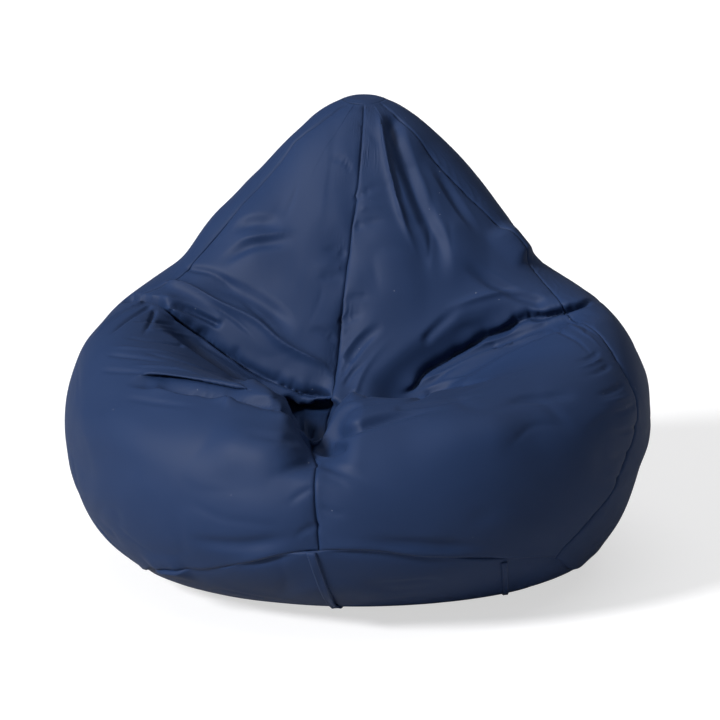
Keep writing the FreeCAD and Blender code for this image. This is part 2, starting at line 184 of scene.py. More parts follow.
@dataclass
class BagForm:
    """The smooth filled form, read by a corner number round it and a level up it."""

    corners: int = 12
    rings: tuple[Ring, ...] = (
        Ring(0.275, (-0.208, 0.000), (-0.010, 0.000), (0.268, 0.000)),
        Ring(0.338, (-0.268, 0.000), (-0.010, 0.000), (0.318, 0.000)),
        Ring(0.412, (-0.418, 0.060), (-0.010, 0.042), (0.400, 0.055)),
        Ring(0.467, (-0.492, 0.165), (-0.005, 0.150), (0.462, 0.160)),
        Ring(0.482, (-0.462, 0.315), (0.005, 0.280), (0.484, 0.270)),
        Ring(0.420, (-0.280, 0.365), (0.030, 0.400), (0.479, 0.360)),
        Ring(0.300, (-0.115, 0.225), (0.100, 0.430), (0.460, 0.430)),
        Ring(0.273, (-0.030, 0.270), (0.160, 0.480), (0.430, 0.500)),
        Ring(0.198, (0.055, 0.440), (0.205, 0.555), (0.385, 0.565)),
        Ring(0.120, (0.135, 0.600), (0.242, 0.635), (0.335, 0.635)),
        Ring(0.066, (0.180, 0.670), (0.252, 0.680), (0.308, 0.668)),
        Ring(0.024, (0.228, 0.687), (0.260, 0.687), (0.286, 0.687)),
    )

    def __post_init__(self) -> None:
        """Lay out the control net."""
        turns = [2 * math.pi * i / self.corners for i in range(self.corners)]
        self.net = np.array([[ring.corner(turn) for turn in turns] for ring in self.rings])
        self.top_level = float(len(self.rings) - 3)

    def round_weights(self, corner: np.ndarray) -> np.ndarray:
        """Cubic weights of the corners at places round the bag.

        Args:
            corner: Corner numbers, which may lie between two corners.

        Returns:
            One weight per corner for each place.
        """
        index = np.arange(self.corners)
        gap = (corner[..., None] - index + self.corners / 2) % self.corners - self.corners / 2
        gap = np.abs(gap)
        near = (4 - 6 * gap**2 + 3 * gap**3) / 6
        far = np.clip(2 - gap, 0, None) ** 3 / 6
        return np.where(gap < 1, near, far)

    def level_weights(self, level: np.ndarray) -> np.ndarray:
        """Cubic weights of the rings at levels up the bag, clamped at both ends.

        Args:
            level: Levels, 0 at the floor patch.

        Returns:
            One weight per ring for each level.
        """
        count = len(self.rings)
        inner = np.arange(0, count - 2)
        knots = np.concatenate([[0, 0, 0], inner, [count - 3] * 3]).astype(float)
        x = np.clip(level, 0.0, self.top_level - 1e-9)[..., None]
        weights = ((x >= knots[:-1]) & (x < knots[1:])).astype(float)
        for degree in (1, 2, 3):
            left_span = knots[degree:-1] - knots[: -degree - 1]
            right_span = knots[degree + 1 :] - knots[1:-degree]
            safe_left = np.where(left_span > 0, left_span, 1)
            safe_right = np.where(right_span > 0, right_span, 1)
            left = np.where(left_span > 0, (x - knots[: -degree - 1]) / safe_left, 0)
            right = np.where(right_span > 0, (knots[degree + 1 :] - x) / safe_right, 0)
            weights = left * weights[..., :-1] + right * weights[..., 1:]
        return weights

    def points(self, corner: np.ndarray, level: np.ndarray) -> np.ndarray:
        """Places on the form.

        Args:
            corner: Corner numbers, 0 at the front, 3 at the right, 6 at the back, 9 at the left.
            level: Levels, 0 at the floor patch and top_level at the top.

        Returns:
            Points in metres, one more axis than the inputs.
        """
        up = self.level_weights(level)
        around = self.round_weights(corner)
        columns = np.tensordot(up, self.net, axes=(-1, 0))
        return np.einsum("...c,...cx->...x", around, columns)


# --- The cloth grid ------------------------------------------------------------------------


class Gore(Enum):
    """The six upright panels, in order round the bag from the front seam to the right."""

    FRONT_RIGHT = "front_right"
    SIDE_RIGHT = "side_right"
    BACK_RIGHT = "back_right"
    BACK_LEFT = "back_left"
    SIDE_LEFT = "side_left"
    FRONT_LEFT = "front_left"


@dataclass
class ClothGrid:
    """Grid of cloth over the form, with its columns on the seams and its rows on the cross seams."""

    form: BagForm
    columns: dict[Gore, int] = field(
        default_factory=lambda: {
            Gore.FRONT_RIGHT: 168,
            Gore.SIDE_RIGHT: 90,
            Gore.BACK_RIGHT: 72,
            Gore.BACK_LEFT: 72,
            Gore.SIDE_LEFT: 90,
            Gore.FRONT_LEFT: 168,
        }
    )
    under_rows: int = 24
    base_rows: int = 64
    gore_rows: int = 288
    rim_rows: int = 8
    cap_rows: int = 10
    top_seam_level: float = 8.92

    def seam(self, index: int, level: np.ndarray) -> np.ndarray:
        """Corner number of an upright seam at each level.

        Args:
            index: 0 for the front seam, then round to the right; 6 is the front seam again.
            level: Levels up the form.

        Returns:
            Corner numbers that rise from seam to seam.
        """
        front = [(0, -0.22), (1.9, -0.23), (3.0, -0.27), (3.7, -0.31), (4.6, -0.34),
                 (6.0, -0.28), (7.0, -0.22), (8.0, -0.11), (9, 0.0)]
        right = [(0, 1.55), (1.4, 1.50), (1.8, 1.72), (2.1, 1.92), (2.55, 2.20), (3.0, 2.32),
                 (3.7, 2.30), (4.4, 2.46), (5.1, 2.82), (6.1, 2.78), (6.75, 2.58), (7.3, 2.32),
                 (7.8, 2.05), (8.4, 1.85), (9, 1.6)]
        right_back = [(0, 4.6), (2, 4.7), (4, 4.75), (6, 4.65), (7.5, 4.4), (9, 4.0)]
        back = [(0, 6.05), (3, 6.03), (6, 6.0), (9, 6.0)]
        left_back = [(0, 7.4), (2, 7.3), (4, 7.25), (6, 7.35), (7.5, 7.6), (9, 8.0)]
        left = [(0, 9.9), (0.8, 9.95), (1.3, 9.7), (2.2, 9.1), (3.2, 8.85), (4.2, 8.85),
                (5.2, 9.1), (6.4, 9.33), (7.5, 9.47), (8.0, 9.6), (8.4, 9.95), (9, 10.4)]
        front_again = [(place, value + 12) for place, value in front]
        lines = (front, right, right_back, back, left_back, left, front_again)
        return ease_between(level, lines[index])

    def base_seam_level(self, corner: np.ndarray) -> np.ndarray:
        """Level of the base seam.

        Args:
            corner: Corner numbers.

        Returns:
            The seam's level at each of them.
        """
        line = [(-3, 0.80), (-2.05, 0.80), (-1.6, 1.16), (-1.0, 1.40), (-0.5, 1.77), (0, 1.89),
                (0.5, 1.74), (1.0, 1.60), (1.47, 1.42), (1.85, 1.0), (2.3, 0.85), (3.0, 0.88),
                (4.5, 1.0), (6.0, 1.1), (7.5, 1.0), (9.0, 0.80)]
        wrapped = (corner + 3) % 12 - 3
        return ease_between(wrapped, line)

    def build(self) -> None:
        """Lay every row and column out and read the form there."""
        counts = [self.columns[gore] for gore in Gore]
        self.starts = np.concatenate([[0], np.cumsum(counts)])
        which = np.concatenate([np.full(n, k) for k, n in enumerate(counts)])
        across = np.concatenate([np.arange(n) / n for n in counts])
        share = self.row_shares()[:, None]
        level = np.tile(1.0 + share * (self.top_seam_level - 1.0), (1, len(which)))
        for _ in range(8):
            low = np.stack([self.seam(k, level) for k in range(7)])
            here = np.take_along_axis(low, np.broadcast_to(which, level.shape)[None], 0)[0]
            after = np.take_along_axis(low, np.broadcast_to(which + 1, level.shape)[None], 0)[0]
            corner = here + (after - here) * across
            foot = self.base_seam_level(corner[:1])
            level = foot + share * (self.top_seam_level - foot)
        base_share = np.linspace(0, 1, self.base_rows + 1)[:-1, None]
        base_level = base_share * level[:1]
        base_corner = np.repeat(corner[:1], self.base_rows, 0)
        rim_share = np.linspace(0, 1, self.rim_rows + 1)[1:, None]
        rim_level = level[-1:] + rim_share * (self.form.top_level - level[-1:])
        rim_corner = np.repeat(corner[-1:], self.rim_rows, 0)
        corner = np.concatenate([base_corner, corner, rim_corner])
        level = np.concatenate([base_level, level, rim_level])
        body = self.lean(self.form.points(corner, level))
        patch = np.linspace(0, 1, self.under_rows + 1)[:-1, None, None]
        under = self.disc(body[0], patch)
        lid = self.disc(body[-1], np.linspace(1, 0, self.cap_rows + 1)[1:, None, None])
        self.points = np.concatenate([under, body, lid])
        self.rest_points = self.points.copy()
        self.rest_normals = self.normals()
        self.base_seam_row = self.under_rows + self.base_rows
        self.top_seam_row = self.base_seam_row + self.gore_rows
        fill_corner = lambda n, row: np.repeat(row[None], n, 0)
        self.corner = np.concatenate(
            [fill_corner(self.under_rows, corner[0]), corner, fill_corner(self.cap_rows, corner[-1])]
        )
        self.level = np.concatenate(
            [np.zeros((self.under_rows, corner.shape[1])), level, fill_corner(self.cap_rows, level[-1])]
        )

    def row_shares(self) -> np.ndarray:
        """Shares of the gores' height at which the rows lie, closer together round the seat hollow."""
        fine = np.linspace(0, 1, 2001)
        density = 1.0 + 1.2 * np.exp(-(((fine - 0.45) / 0.17) ** 2))
        walked = np.concatenate([[0], np.cumsum((density[1:] + density[:-1]) / 2)])
        return np.interp(np.linspace(0, walked[-1], self.gore_rows + 1), walked, fine)

    @staticmethod
    def lean(points: np.ndarray) -> np.ndarray:
        """Lean the peak a little to the right and settle the belly a little to the left.

        Args:
            points: Points of the form.

        Returns:
            The leant points.
        """
        z = points[..., 2]
        leant = points.copy()
        leant[..., 0] += PEAK_LEAN * smooth((z - 0.42) / 0.20)
        leant[..., 0] -= BELLY_LEAN * smooth((z - 0.02) / 0.06) * smooth((0.33 - z) / 0.12)
        return leant

    @staticmethod
    def disc(rim: np.ndarray, share: np.ndarray) -> np.ndarray:
        """Flat patch inside a rim: share 0 is its middle and 1 the rim."""
        middle = rim.mean(axis=0)
        return middle + (rim[None] - middle) * np.maximum(share, 1e-3)

    def normals(self) -> np.ndarray:
        """Outward unit normals of the cloth at each grid point."""
        p = self.points
        around = np.roll(p, -1, axis=1) - np.roll(p, 1, axis=1)
        up = np.empty_like(p)
        up[1:-1] = p[2:] - p[:-2]
        up[0], up[-1] = p[1] - p[0], p[-1] - p[-2]
        return unit(np.cross(around, up))


# --- Folds drawn on an elevation -----------------------------------------------------------


@dataclass(frozen=True)
class Viewer:
    """Someone looking at the bag, who draws on an upright sheet through its middle."""

    azimuth: float = 0.0
    elevation: float = 14.0
    distance: float = 5.0
    middle_height: float = 0.36

    def frame(self) -> tuple[np.ndarray, np.ndarray, np.ndarray]:
        """Unit vectors of the sheet: to the viewer, to the right and up."""
        turn, lift = math.radians(self.azimuth), math.radians(self.elevation)
        back = np.array([math.sin(turn) * math.cos(lift), -math.cos(turn) * math.cos(lift), math.sin(lift)])
        right = np.array([math.cos(turn), math.sin(turn), 0.0])
        return back, right, np.cross(back, right)

    def eye(self) -> np.ndarray:
        """Place of the viewer's eye."""
        return np.array([0, 0, self.middle_height]) + self.frame()[0] * self.distance

    def drop(self, tree: BVHTree, path: list[tuple[float, float]]) -> np.ndarray:
        """Where the sheet's points land on the cloth.

        Args:
            tree: The cloth's search tree.
            path: (across, height) points on the sheet in metres.

        Returns:
            The landing points, without those that miss the cloth.
        """
        _, right, up = self.frame()
        eye = self.eye()
        hits = []
        for across, height in path:
            mark = np.array([0, 0, self.middle_height]) + right * across + up * (height - self.middle_height)
            place = tree.ray_cast(Vector(eye), Vector(mark - eye).normalized())[0]
            if place is not None:
                hits.append(tuple(place))
        return np.array(hits)


FRONT = Viewer()


class Shape(Enum):
    """How the cloth stands across a fold."""

    CREASE = "crease"
    TROUGH = "trough"
    LAP = "lap"


@dataclass(frozen=True)
class Fold:
    """One fold: its path on an elevation, its height or depth, and how far it reaches each side."""

    path: tuple[tuple[float, float], ...]
    height: float
    reach: float
    shape: Shape = Shape.TROUGH
    fade_in: float = 0.25
    fade_out: float = 0.25
    other_reach: float = 0.0
    lean: float = 0.0
    viewer: Viewer = FRONT
    way: tuple[float, float, float] | None = None

    def profile(self, side: np.ndarray) -> np.ndarray:
        """Height across the fold.

        Args:
            side: Signed distances from its path, positive on the left.

        Returns:
            How far the cloth stands out at each distance.
        """
        right_reach = self.other_reach or self.reach
        w = np.where(side > 0, side / self.reach, -side / right_reach)
        if self.shape is Shape.CREASE:
            slopes = 0.55 * np.clip(1 - w, 0, None) ** 2.2
            tip = 0.45 * np.exp(-((w * 3.2) ** 2))
            return self.height * (slopes + tip) * (w < 1)
        if self.shape is Shape.LAP:
            edge = np.tanh(side / LAP_EDGE)
            return self.height * 0.5 * (edge * smooth(1 - w) ** 1.5 + smooth(1 - w) ** 2)
        return self.height * smooth(1 - w)


@dataclass(frozen=True)
class SeamLook:
    """How an upright seam looks: depth of its valley at shares of its height, and its puckers."""

    pillow: tuple[tuple[float, float], ...]
    pillow_reach: float = 0.020
    groove: float = 0.0018
    pucker: float = 0.0010
    pucker_pitch: float = 0.026
    pucker_reach: float = 0.014


@dataclass(frozen=True)
class OverhangLook:
    """How the gores roll over the base seam."""

    roll: float = 0.0040
    roll_reach: float = 0.014
    tuck: float = 0.0045
    tuck_reach: float = 0.011
    groove: float = 0.0020


@dataclass(frozen=True)
class Looseness:
    """Slack of the filled cover: swells along the rolls, upright swells on the back, and wrinkles."""

    swell: float = 0.0042
    wrinkle: float = 0.0017
    wrinkle_width: float = 0.16
    low_cells: tuple[float, float, float] = (0.17, 0.17, 0.060)
    high_cells: tuple[float, float, float] = (0.062, 0.075, 0.20)
    warp: float = 0.035
    warp_cells: tuple[float, float, float] = (0.11, 0.11, 0.11)
    change_height: float = 0.34
    change_span: float = 0.16
    seed: int = 71

    def noise(self, points: np.ndarray, cells: tuple[float, float, float], seed: int) -> np.ndarray:
        """Smooth random values, about -1 to 1, with cells of a size.

        Args:
            points: Places where the values are wanted.
            cells: Cell size along each axis.
            seed: Start of the random draw.

        Returns:
            One value per point.
        """
        size = 32
        table = np.random.default_rng(seed).uniform(-1.0, 1.0, (size, size, size))
        place = points / np.array(cells) + 12.37
        corner = np.floor(place).astype(int)
        part = place - corner
        part = part ** 3 * (part * (part * 6 - 15) + 10)
        value = np.zeros(points.shape[:-1])
        for dx, dy, dz in np.ndindex(2, 2, 2):
            weight = np.ones(points.shape[:-1])
            for axis, step in enumerate((dx, dy, dz)):
                weight = weight * (part[..., axis] if step else 1 - part[..., axis])
            x, y, z = (corner[..., axis] + step for axis, step in enumerate((dx, dy, dz)))
            value += weight * table[x % size, y % size, z % size]
        return value

    def height(self, points: np.ndarray, normals: np.ndarray) -> np.ndarray:
        """How far each point of the cloth stands out.

        Args:
            points: Points of the cloth.
            normals: Their outward normals; not used.

        Returns:
            Heights in metres.
        """
        drifts = [self.noise(points, self.warp_cells, self.seed + k) for k in (1, 2, 3)]
        warp = np.stack(drifts, -1) * self.warp
        moved = points + warp
        high = smooth((points[..., 2] - self.change_height) / self.change_span)
        total = np.zeros(points.shape[:-1])
        for cells, share in ((self.low_cells, 1 - high), (self.high_cells, high)):
            broad = self.noise(moved, cells, self.seed + 10)
            fine = self.noise(moved, tuple(c * 0.8 for c in cells), self.seed + 20)
            patch = smooth(self.noise(points, (0.13, 0.13, 0.10), self.seed + 30) * 1.4 + 0.35)
            lines = np.exp(-((fine / self.wrinkle_width) ** 2)) * patch
            total += share * (self.swell * broad - self.wrinkle * lines)
        grounded = smooth((points[..., 2] - 0.004) / 0.05)
        below_peak = smooth((0.682 - points[..., 2]) / 0.05)
        return total * grounded * below_peak


SIDE_SEAM = SeamLook(((0, 0.003), (0.3, 0.003), (0.6, 0.003), (0.85, 0.004), (1, 0.002)),
                     pillow_reach=0.015, pucker=0.0012)
UPRIGHT_SEAMS = (
    SeamLook(((0, 0.004), (0.15, 0.008), (0.30, 0.006), (0.50, 0.006), (0.65, 0.011), (0.85, 0.009),
              (1, 0.003)),
             pillow_reach=0.024, pucker=0.0016),
    SIDE_SEAM,
    SeamLook(((0, 0.003), (0.4, 0.005), (0.8, 0.006), (1, 0.002))),
    SeamLook(((0, 0.003), (0.4, 0.006), (0.8, 0.007), (1, 0.002))),
    SeamLook(((0, 0.003), (0.4, 0.005), (0.8, 0.006), (1, 0.002))),
    SIDE_SEAM,
)


class Cloth:
    """The cloth grid while folds are pressed into it."""

    def __init__(self, grid: ClothGrid) -> None:
        """Take a built grid."""
        self.grid = grid
        self.steady: np.ndarray | None = None

    def tree(self) -> BVHTree:
        """Search tree over every second row and column of the cloth."""
        p = self.grid.points[::2, ::2]
        rows, columns = p.shape[:2]
        index = np.arange(rows * columns).reshape(rows, columns)
        right = np.roll(index, -1, axis=1)
        quads = np.stack([index[:-1], right[:-1], right[1:], index[1:]], -1).reshape(-1, 4)
        return BVHTree.FromPolygons(p.reshape(-1, 3).tolist(), quads.tolist())

    def press(self, folds: list[Fold]) -> None:
        """Press a family of folds into the cloth together.

        Args:
            folds: Folds that don't depend on each other.
        """
        tree = self.tree()
        points = self.grid.points
        normals = self.grid.normals() if self.steady is None else self.steady
        move = np.zeros_like(points)
        for fold in folds:
            landed = fold.viewer.drop(tree, self.finer(fold.path))
            if len(landed) < 2:
                LOG.warning("a fold missed the cloth: %s", fold.path[0])
                continue
            self.add_move(fold, landed, points, normals, move)
        points += move

    @staticmethod
    def finer(path: tuple[tuple[float, float], ...]) -> list[tuple[float, float]]:
        """Smooth a path into short steps.

        Args:
            path: Points of the path on the viewer's sheet.

        Returns:
            The same path in short even steps.
        """
        p = np.array(path, float)
        if len(p) == 2:
            return [tuple(v) for v in np.linspace(p[0], p[1], 9)]
        place = np.concatenate([[0], np.cumsum(np.linalg.norm(np.diff(p, axis=0), axis=1))])
        steps = np.linspace(0, place[-1], max(9, int(place[-1] / 0.012)))
        x = ease_between(steps, list(zip(place, p[:, 0])))
        y = ease_between(steps, list(zip(place, p[:, 1])))
        return list(zip(x, y))

    @staticmethod
    def add_move(fold: Fold, line: np.ndarray, points: np.ndarray, normals: np.ndarray,
                 move: np.ndarray) -> None:
        """Add the movement that one fold gives each grid point.

        Args:
            fold: The fold.
            line: Its path on the cloth.
            points: Grid points.
            normals: Their outward normals.
            move: Movement of every grid point, added to in place.
        """
        reach = max(fold.reach, fold.other_reach) * 1.05
        low, high = line.min(0) - reach, line.max(0) + reach
        near = np.all((points > low) & (points < high), axis=-1)
        here, outward = points[near], normals[near]
        best = np.full(len(here), np.inf)
        side = np.zeros(len(here))
        lean_way = np.zeros_like(here)
        along = np.zeros(len(here))
        lengths = np.linalg.norm(np.diff(line, axis=0), axis=1)
        total = lengths.sum()
        walked = 0.0
        for a, b, length in zip(line[:-1], line[1:], lengths):
            if length < 1e-9:
                continue
            step = (b - a) / length
            offset = here - a
            t = np.clip(offset @ step, 0, length)
            gap = offset - t[:, None] * step
            distance = np.linalg.norm(gap, axis=1)
            closer = distance < best
            best = np.where(closer, distance, best)
            leftward = np.cross(outward, step)
            side = np.where(closer, np.sign((gap * leftward).sum(1)) * distance, side)
            lean_way = np.where(closer[:, None], -leftward, lean_way)
            along = np.where(closer, (walked + t) / total, along)
            walked += length
        start = smooth(along / fold.fade_in) if fold.fade_in > 0 else 1.0
        end = smooth((1 - along) / fold.fade_out) if fold.fade_out > 0 else 1.0
        fade = (start * end)[:, None]
        push_way = outward if fold.way is None else np.array(fold.way)
        added = push_way * fold.profile(side)[:, None]
        if fold.lean:
            added += lean_way * (fold.lean * np.exp(-(((side - 0.004) / 0.013) ** 2)))[:, None]
        move[near] += added * fade

    def crumple(self, loose: "Looseness") -> None:
        """Let the cloth stand slack: long shallow swells and thin soft wrinkles.

        Args:
            loose: How slack the cloth is.
        """
        points = self.grid.points
        move = loose.height(points, self.grid.normals())
        points += self.grid.normals() * move[..., None]

    def seam_gaps(self) -> tuple[np.ndarray, np.ndarray, np.ndarray]:
        """Distance from each grid point to the nearest upright seam along its row.

        Returns:
            The distances, the numbers of the nearest seams and the side of the seam, -1 or 1.
        """
        p = self.grid.points
        steps = np.linalg.norm(np.roll(p, -1, 1) - p, axis=-1)
        walked = np.concatenate([np.zeros((len(p), 1)), np.cumsum(steps, 1)], 1)
        total = walked[:, -1:]
        walked = walked[:, :-1]
        best = np.full(walked.shape, np.inf)
        which = np.zeros(walked.shape, int)
        side = np.ones(walked.shape)
        for number, column in enumerate(self.grid.starts[:-1]):
            gap = walked - walked[:, column : column + 1]
            gap = (gap + total / 2) % total - total / 2
            closer = np.abs(gap) < best
            best = np.where(closer, np.abs(gap), best)
            which = np.where(closer, number, which)
            side = np.where(closer, np.sign(gap + 1e-12), side)
        return best, which, side

    def upward(self) -> np.ndarray:
        """Distance up each column from the middle of the floor patch."""
        steps = np.linalg.norm(np.diff(self.grid.points, axis=0), axis=-1)
        return np.concatenate([np.zeros((1, steps.shape[1])), np.cumsum(steps, 0)], 0)

    def sew(self, seams: tuple["SeamLook", ...], ripple: Ripple) -> None:
        """Draw the cloth in along the upright seams, with the pillowing and puckers beside them.

        Args:
            seams: How each upright seam looks, in order from the front seam to the right.
            ripple: Noise that varies the puckers.
        """
        p = self.grid.points
        gap, which, side = self.seam_gaps()
        up = self.upward()
        first, last = self.grid.base_seam_row, self.grid.top_seam_row
        share = np.interp(np.arange(len(p)), np.arange(first, last + 1), self.grid.row_shares(), -1.0, 2.0)
        inside = smooth(share / 0.004) * smooth((1.0 - share) / 0.01)
        drift = ripple.at(p, 0.085)
        drop = np.zeros(gap.shape)
        for number, look in enumerate(seams):
            mine = which == number
            depth = ease_between(share, list(look.pillow))[:, None]
            strength = 0.75 + 0.5 * drift
            pillow = -depth * np.exp(-((gap / look.pillow_reach) ** 1.15)) * strength
            groove = -look.groove * np.exp(-((gap / 0.0022) ** 2))
            turns = 2 * math.pi * (up + side * gap * 0.8) / look.pucker_pitch
            wave = np.sin(turns + 5.0 * drift + 2.0 * side)
            peaked = np.maximum(wave, -0.2) ** 2
            pucker = look.pucker * peaked * np.exp(-gap / look.pucker_reach) * smooth(gap / 0.004)
            drop = np.where(mine, pillow + groove + pucker * smooth(0.5 + drift), drop)
        p += self.grid.normals() * (drop * inside[:, None])[..., None]

    def overhang(self, look: "OverhangLook", ripple: Ripple) -> None:
        """Let the gores roll out over the base seam and tuck the base in under them.

        Args:
            look: Sizes of the overhang.
            ripple: Noise that varies it along the seam.
        """
        p = self.grid.points
        up = self.upward()
        gap = up - up[self.grid.base_seam_row]
        vary = 0.7 + 0.6 * ripple.at(p[self.grid.base_seam_row], 0.16)
        above = look.roll * np.exp(-((gap / look.roll_reach) ** 2)) * (gap >= 0)
        below = -look.tuck * np.exp(-((gap / look.tuck_reach) ** 2)) * (gap < 0)
        groove = -look.groove * np.exp(-((gap / 0.0020) ** 2))
        p += self.grid.normals() * ((above + below) * vary + groove)[..., None]

    def relax(self, rounds: int) -> None:
        """Even the cloth out a little by averaging neighbours.

        Args:
            rounds: How often to do it.
        """
        p = self.grid.points
        for _ in range(rounds):
            mean = (np.roll(p, 1, 1) + np.roll(p, -1, 1) + np.roll(p, 1, 0) + np.roll(p, -1, 0)) / 4
            mean[0], mean[-1] = p[0], p[-1]
            p = p + 0.5 * (mean - p)
        self.grid.points = p


# --- Finishes ------------------------------------------------------------------------------

Colour = tuple[float, float, float]


def new_group(name: str, inputs: dict[str, float], outputs: dict[str, str]) -> bpy.types.ShaderNodeTree:
    """Empty shader node group.

    Args:
        name: The group's name.
        inputs: Input names with their default numbers.
        outputs: Output names with their socket types.

    Returns:
        The group's tree, with its input and output nodes in place.
    """
    tree = bpy.data.node_groups.new(name, "ShaderNodeTree")
    tree.interface.new_socket("Vector", in_out="INPUT", socket_type="NodeSocketVector")
    for label, value in inputs.items():
        socket = tree.interface.new_socket(label, in_out="INPUT", socket_type="NodeSocketFloat")
        socket.default_value = value
    for label, kind in outputs.items():
        tree.interface.new_socket(label, in_out="OUTPUT", socket_type=kind)
    tree.nodes.new("NodeGroupInput").name = "in"
    tree.nodes.new("NodeGroupOutput").name = "out"
    return tree


def add_math(tree: bpy.types.NodeTree, operation: str, first: object,
             second: object = None) -> bpy.types.NodeSocket:
    """Math node fed by sockets or numbers.

    Args:
        tree: Node tree to add it to.
        operation: The math node's operation.
        first: First operand.
        second: Second operand, if the operation takes one.

    Returns:
        The node's output.
    """
    node = tree.nodes.new("ShaderNodeMath")
    node.operation = operation
    for slot, operand in enumerate((first, second)):
        if operand is None:
            continue
        if isinstance(operand, bpy.types.NodeSocket):
            tree.links.new(operand, node.inputs[slot])
        else:
            node.inputs[slot].default_value = operand
    return node.outputs[0]


def weave_group() -> bpy.types.ShaderNodeTree:
    """Plain weave: crossing yarns, with yarns of uneven thickness, as a height from 0 to 1."""
    tree = new_group("plain_weave", {"Yarns per metre": 1400.0, "Slub": 0.35}, {"Height": "NodeSocketFloat"})
    nodes, links = tree.nodes, tree.links
    source, sink = nodes["in"], nodes["out"]
    split = nodes.new("ShaderNodeSeparateXYZ")
    links.new(source.outputs["Vector"], split.inputs[0])
    threads = []
    for axis in ("X", "Y"):
        turns = add_math(tree, "MULTIPLY", split.outputs[axis], source.outputs["Yarns per metre"])
        wave = add_math(tree, "SINE", add_math(tree, "MULTIPLY", turns, math.pi))
        threads.append(add_math(tree, "MULTIPLY", wave, wave))
    crossing = add_math(tree, "MAXIMUM", *threads)
    slub = nodes.new("ShaderNodeTexNoise")
    slub.inputs["Scale"].default_value = 420.0
    slub.inputs["Detail"].default_value = 2.0
    links.new(source.outputs["Vector"], slub.inputs["Vector"])
    uneven = add_math(tree, "MULTIPLY", slub.outputs["Fac"], source.outputs["Slub"])
    links.new(add_math(tree, "ADD", crossing, uneven), sink.inputs["Height"])
    return tree


def drift_group() -> bpy.types.ShaderNodeTree:
    """Slow change of shade over the cloth, from handling, as a value around 1."""
    tree = new_group("shade_drift", {"Scale": 6.0, "Amount": 0.12}, {"Shade": "NodeSocketFloat"})
    nodes, links = tree.nodes, tree.links
    source, sink = nodes["in"], nodes["out"]
    noise = nodes.new("ShaderNodeTexNoise")
    noise.inputs["Detail"].default_value = 4.0
    links.new(source.outputs["Vector"], noise.inputs["Vector"])
    links.new(source.outputs["Scale"], noise.inputs["Scale"])
    centred = add_math(tree, "SUBTRACT", noise.outputs["Fac"], 0.5)
    swing = add_math(tree, "MULTIPLY", centred, source.outputs["Amount"])
    links.new(add_math(tree, "ADD", swing, 1.0), sink.inputs["Shade"])
    return tree


def lint_group() -> bpy.types.ShaderNodeTree:
    """Sparse pale specks of lint as a mask from 0 to 1."""
    tree = new_group("lint_specks", {"Scale": 55.0, "Size": 0.035}, {"Mask": "NodeSocketFloat"})
    nodes, links = tree.nodes, tree.links
    source, sink = nodes["in"], nodes["out"]
    cells = nodes.new("ShaderNodeTexVoronoi")
    cells.inputs["Randomness"].default_value = 1.0
    links.new(source.outputs["Vector"], cells.inputs["Vector"])
    links.new(source.outputs["Scale"], cells.inputs["Scale"])
    spot = add_math(tree, "LESS_THAN", cells.outputs["Distance"], source.outputs["Size"])
    pick = nodes.new("ShaderNodeSeparateColor")
    links.new(cells.outputs["Color"], pick.inputs["Color"])
    rare = add_math(tree, "GREATER_THAN", pick.outputs["Red"], 0.82)
    links.new(add_math(tree, "MULTIPLY", spot, rare), sink.inputs["Mask"])
    return tree


class Effects:
    """The node groups that several finishes share, each built once."""

    def __init__(self) -> None:
        """Build the groups."""
        self.weave = weave_group()
        self.drift = drift_group()
        self.lint = lint_group()

    @staticmethod
    def place(tree: bpy.types.NodeTree, group: bpy.types.ShaderNodeTree, vector: bpy.types.NodeSocket,
              **values: float) -> bpy.types.ShaderNodeGroup:
        """Put a group into a material.

        Args:
            tree: The material's tree.
            group: The group.
            vector: Coordinates for the group.
            **values: Input values, with underscores for spaces.

        Returns:
            The group node.
        """
        node = tree.nodes.new("ShaderNodeGroup")
        node.node_tree = group
        tree.links.new(vector, node.inputs["Vector"])
        for label, value in values.items():
            node.inputs[label.replace("_", " ")].default_value = value
        return node


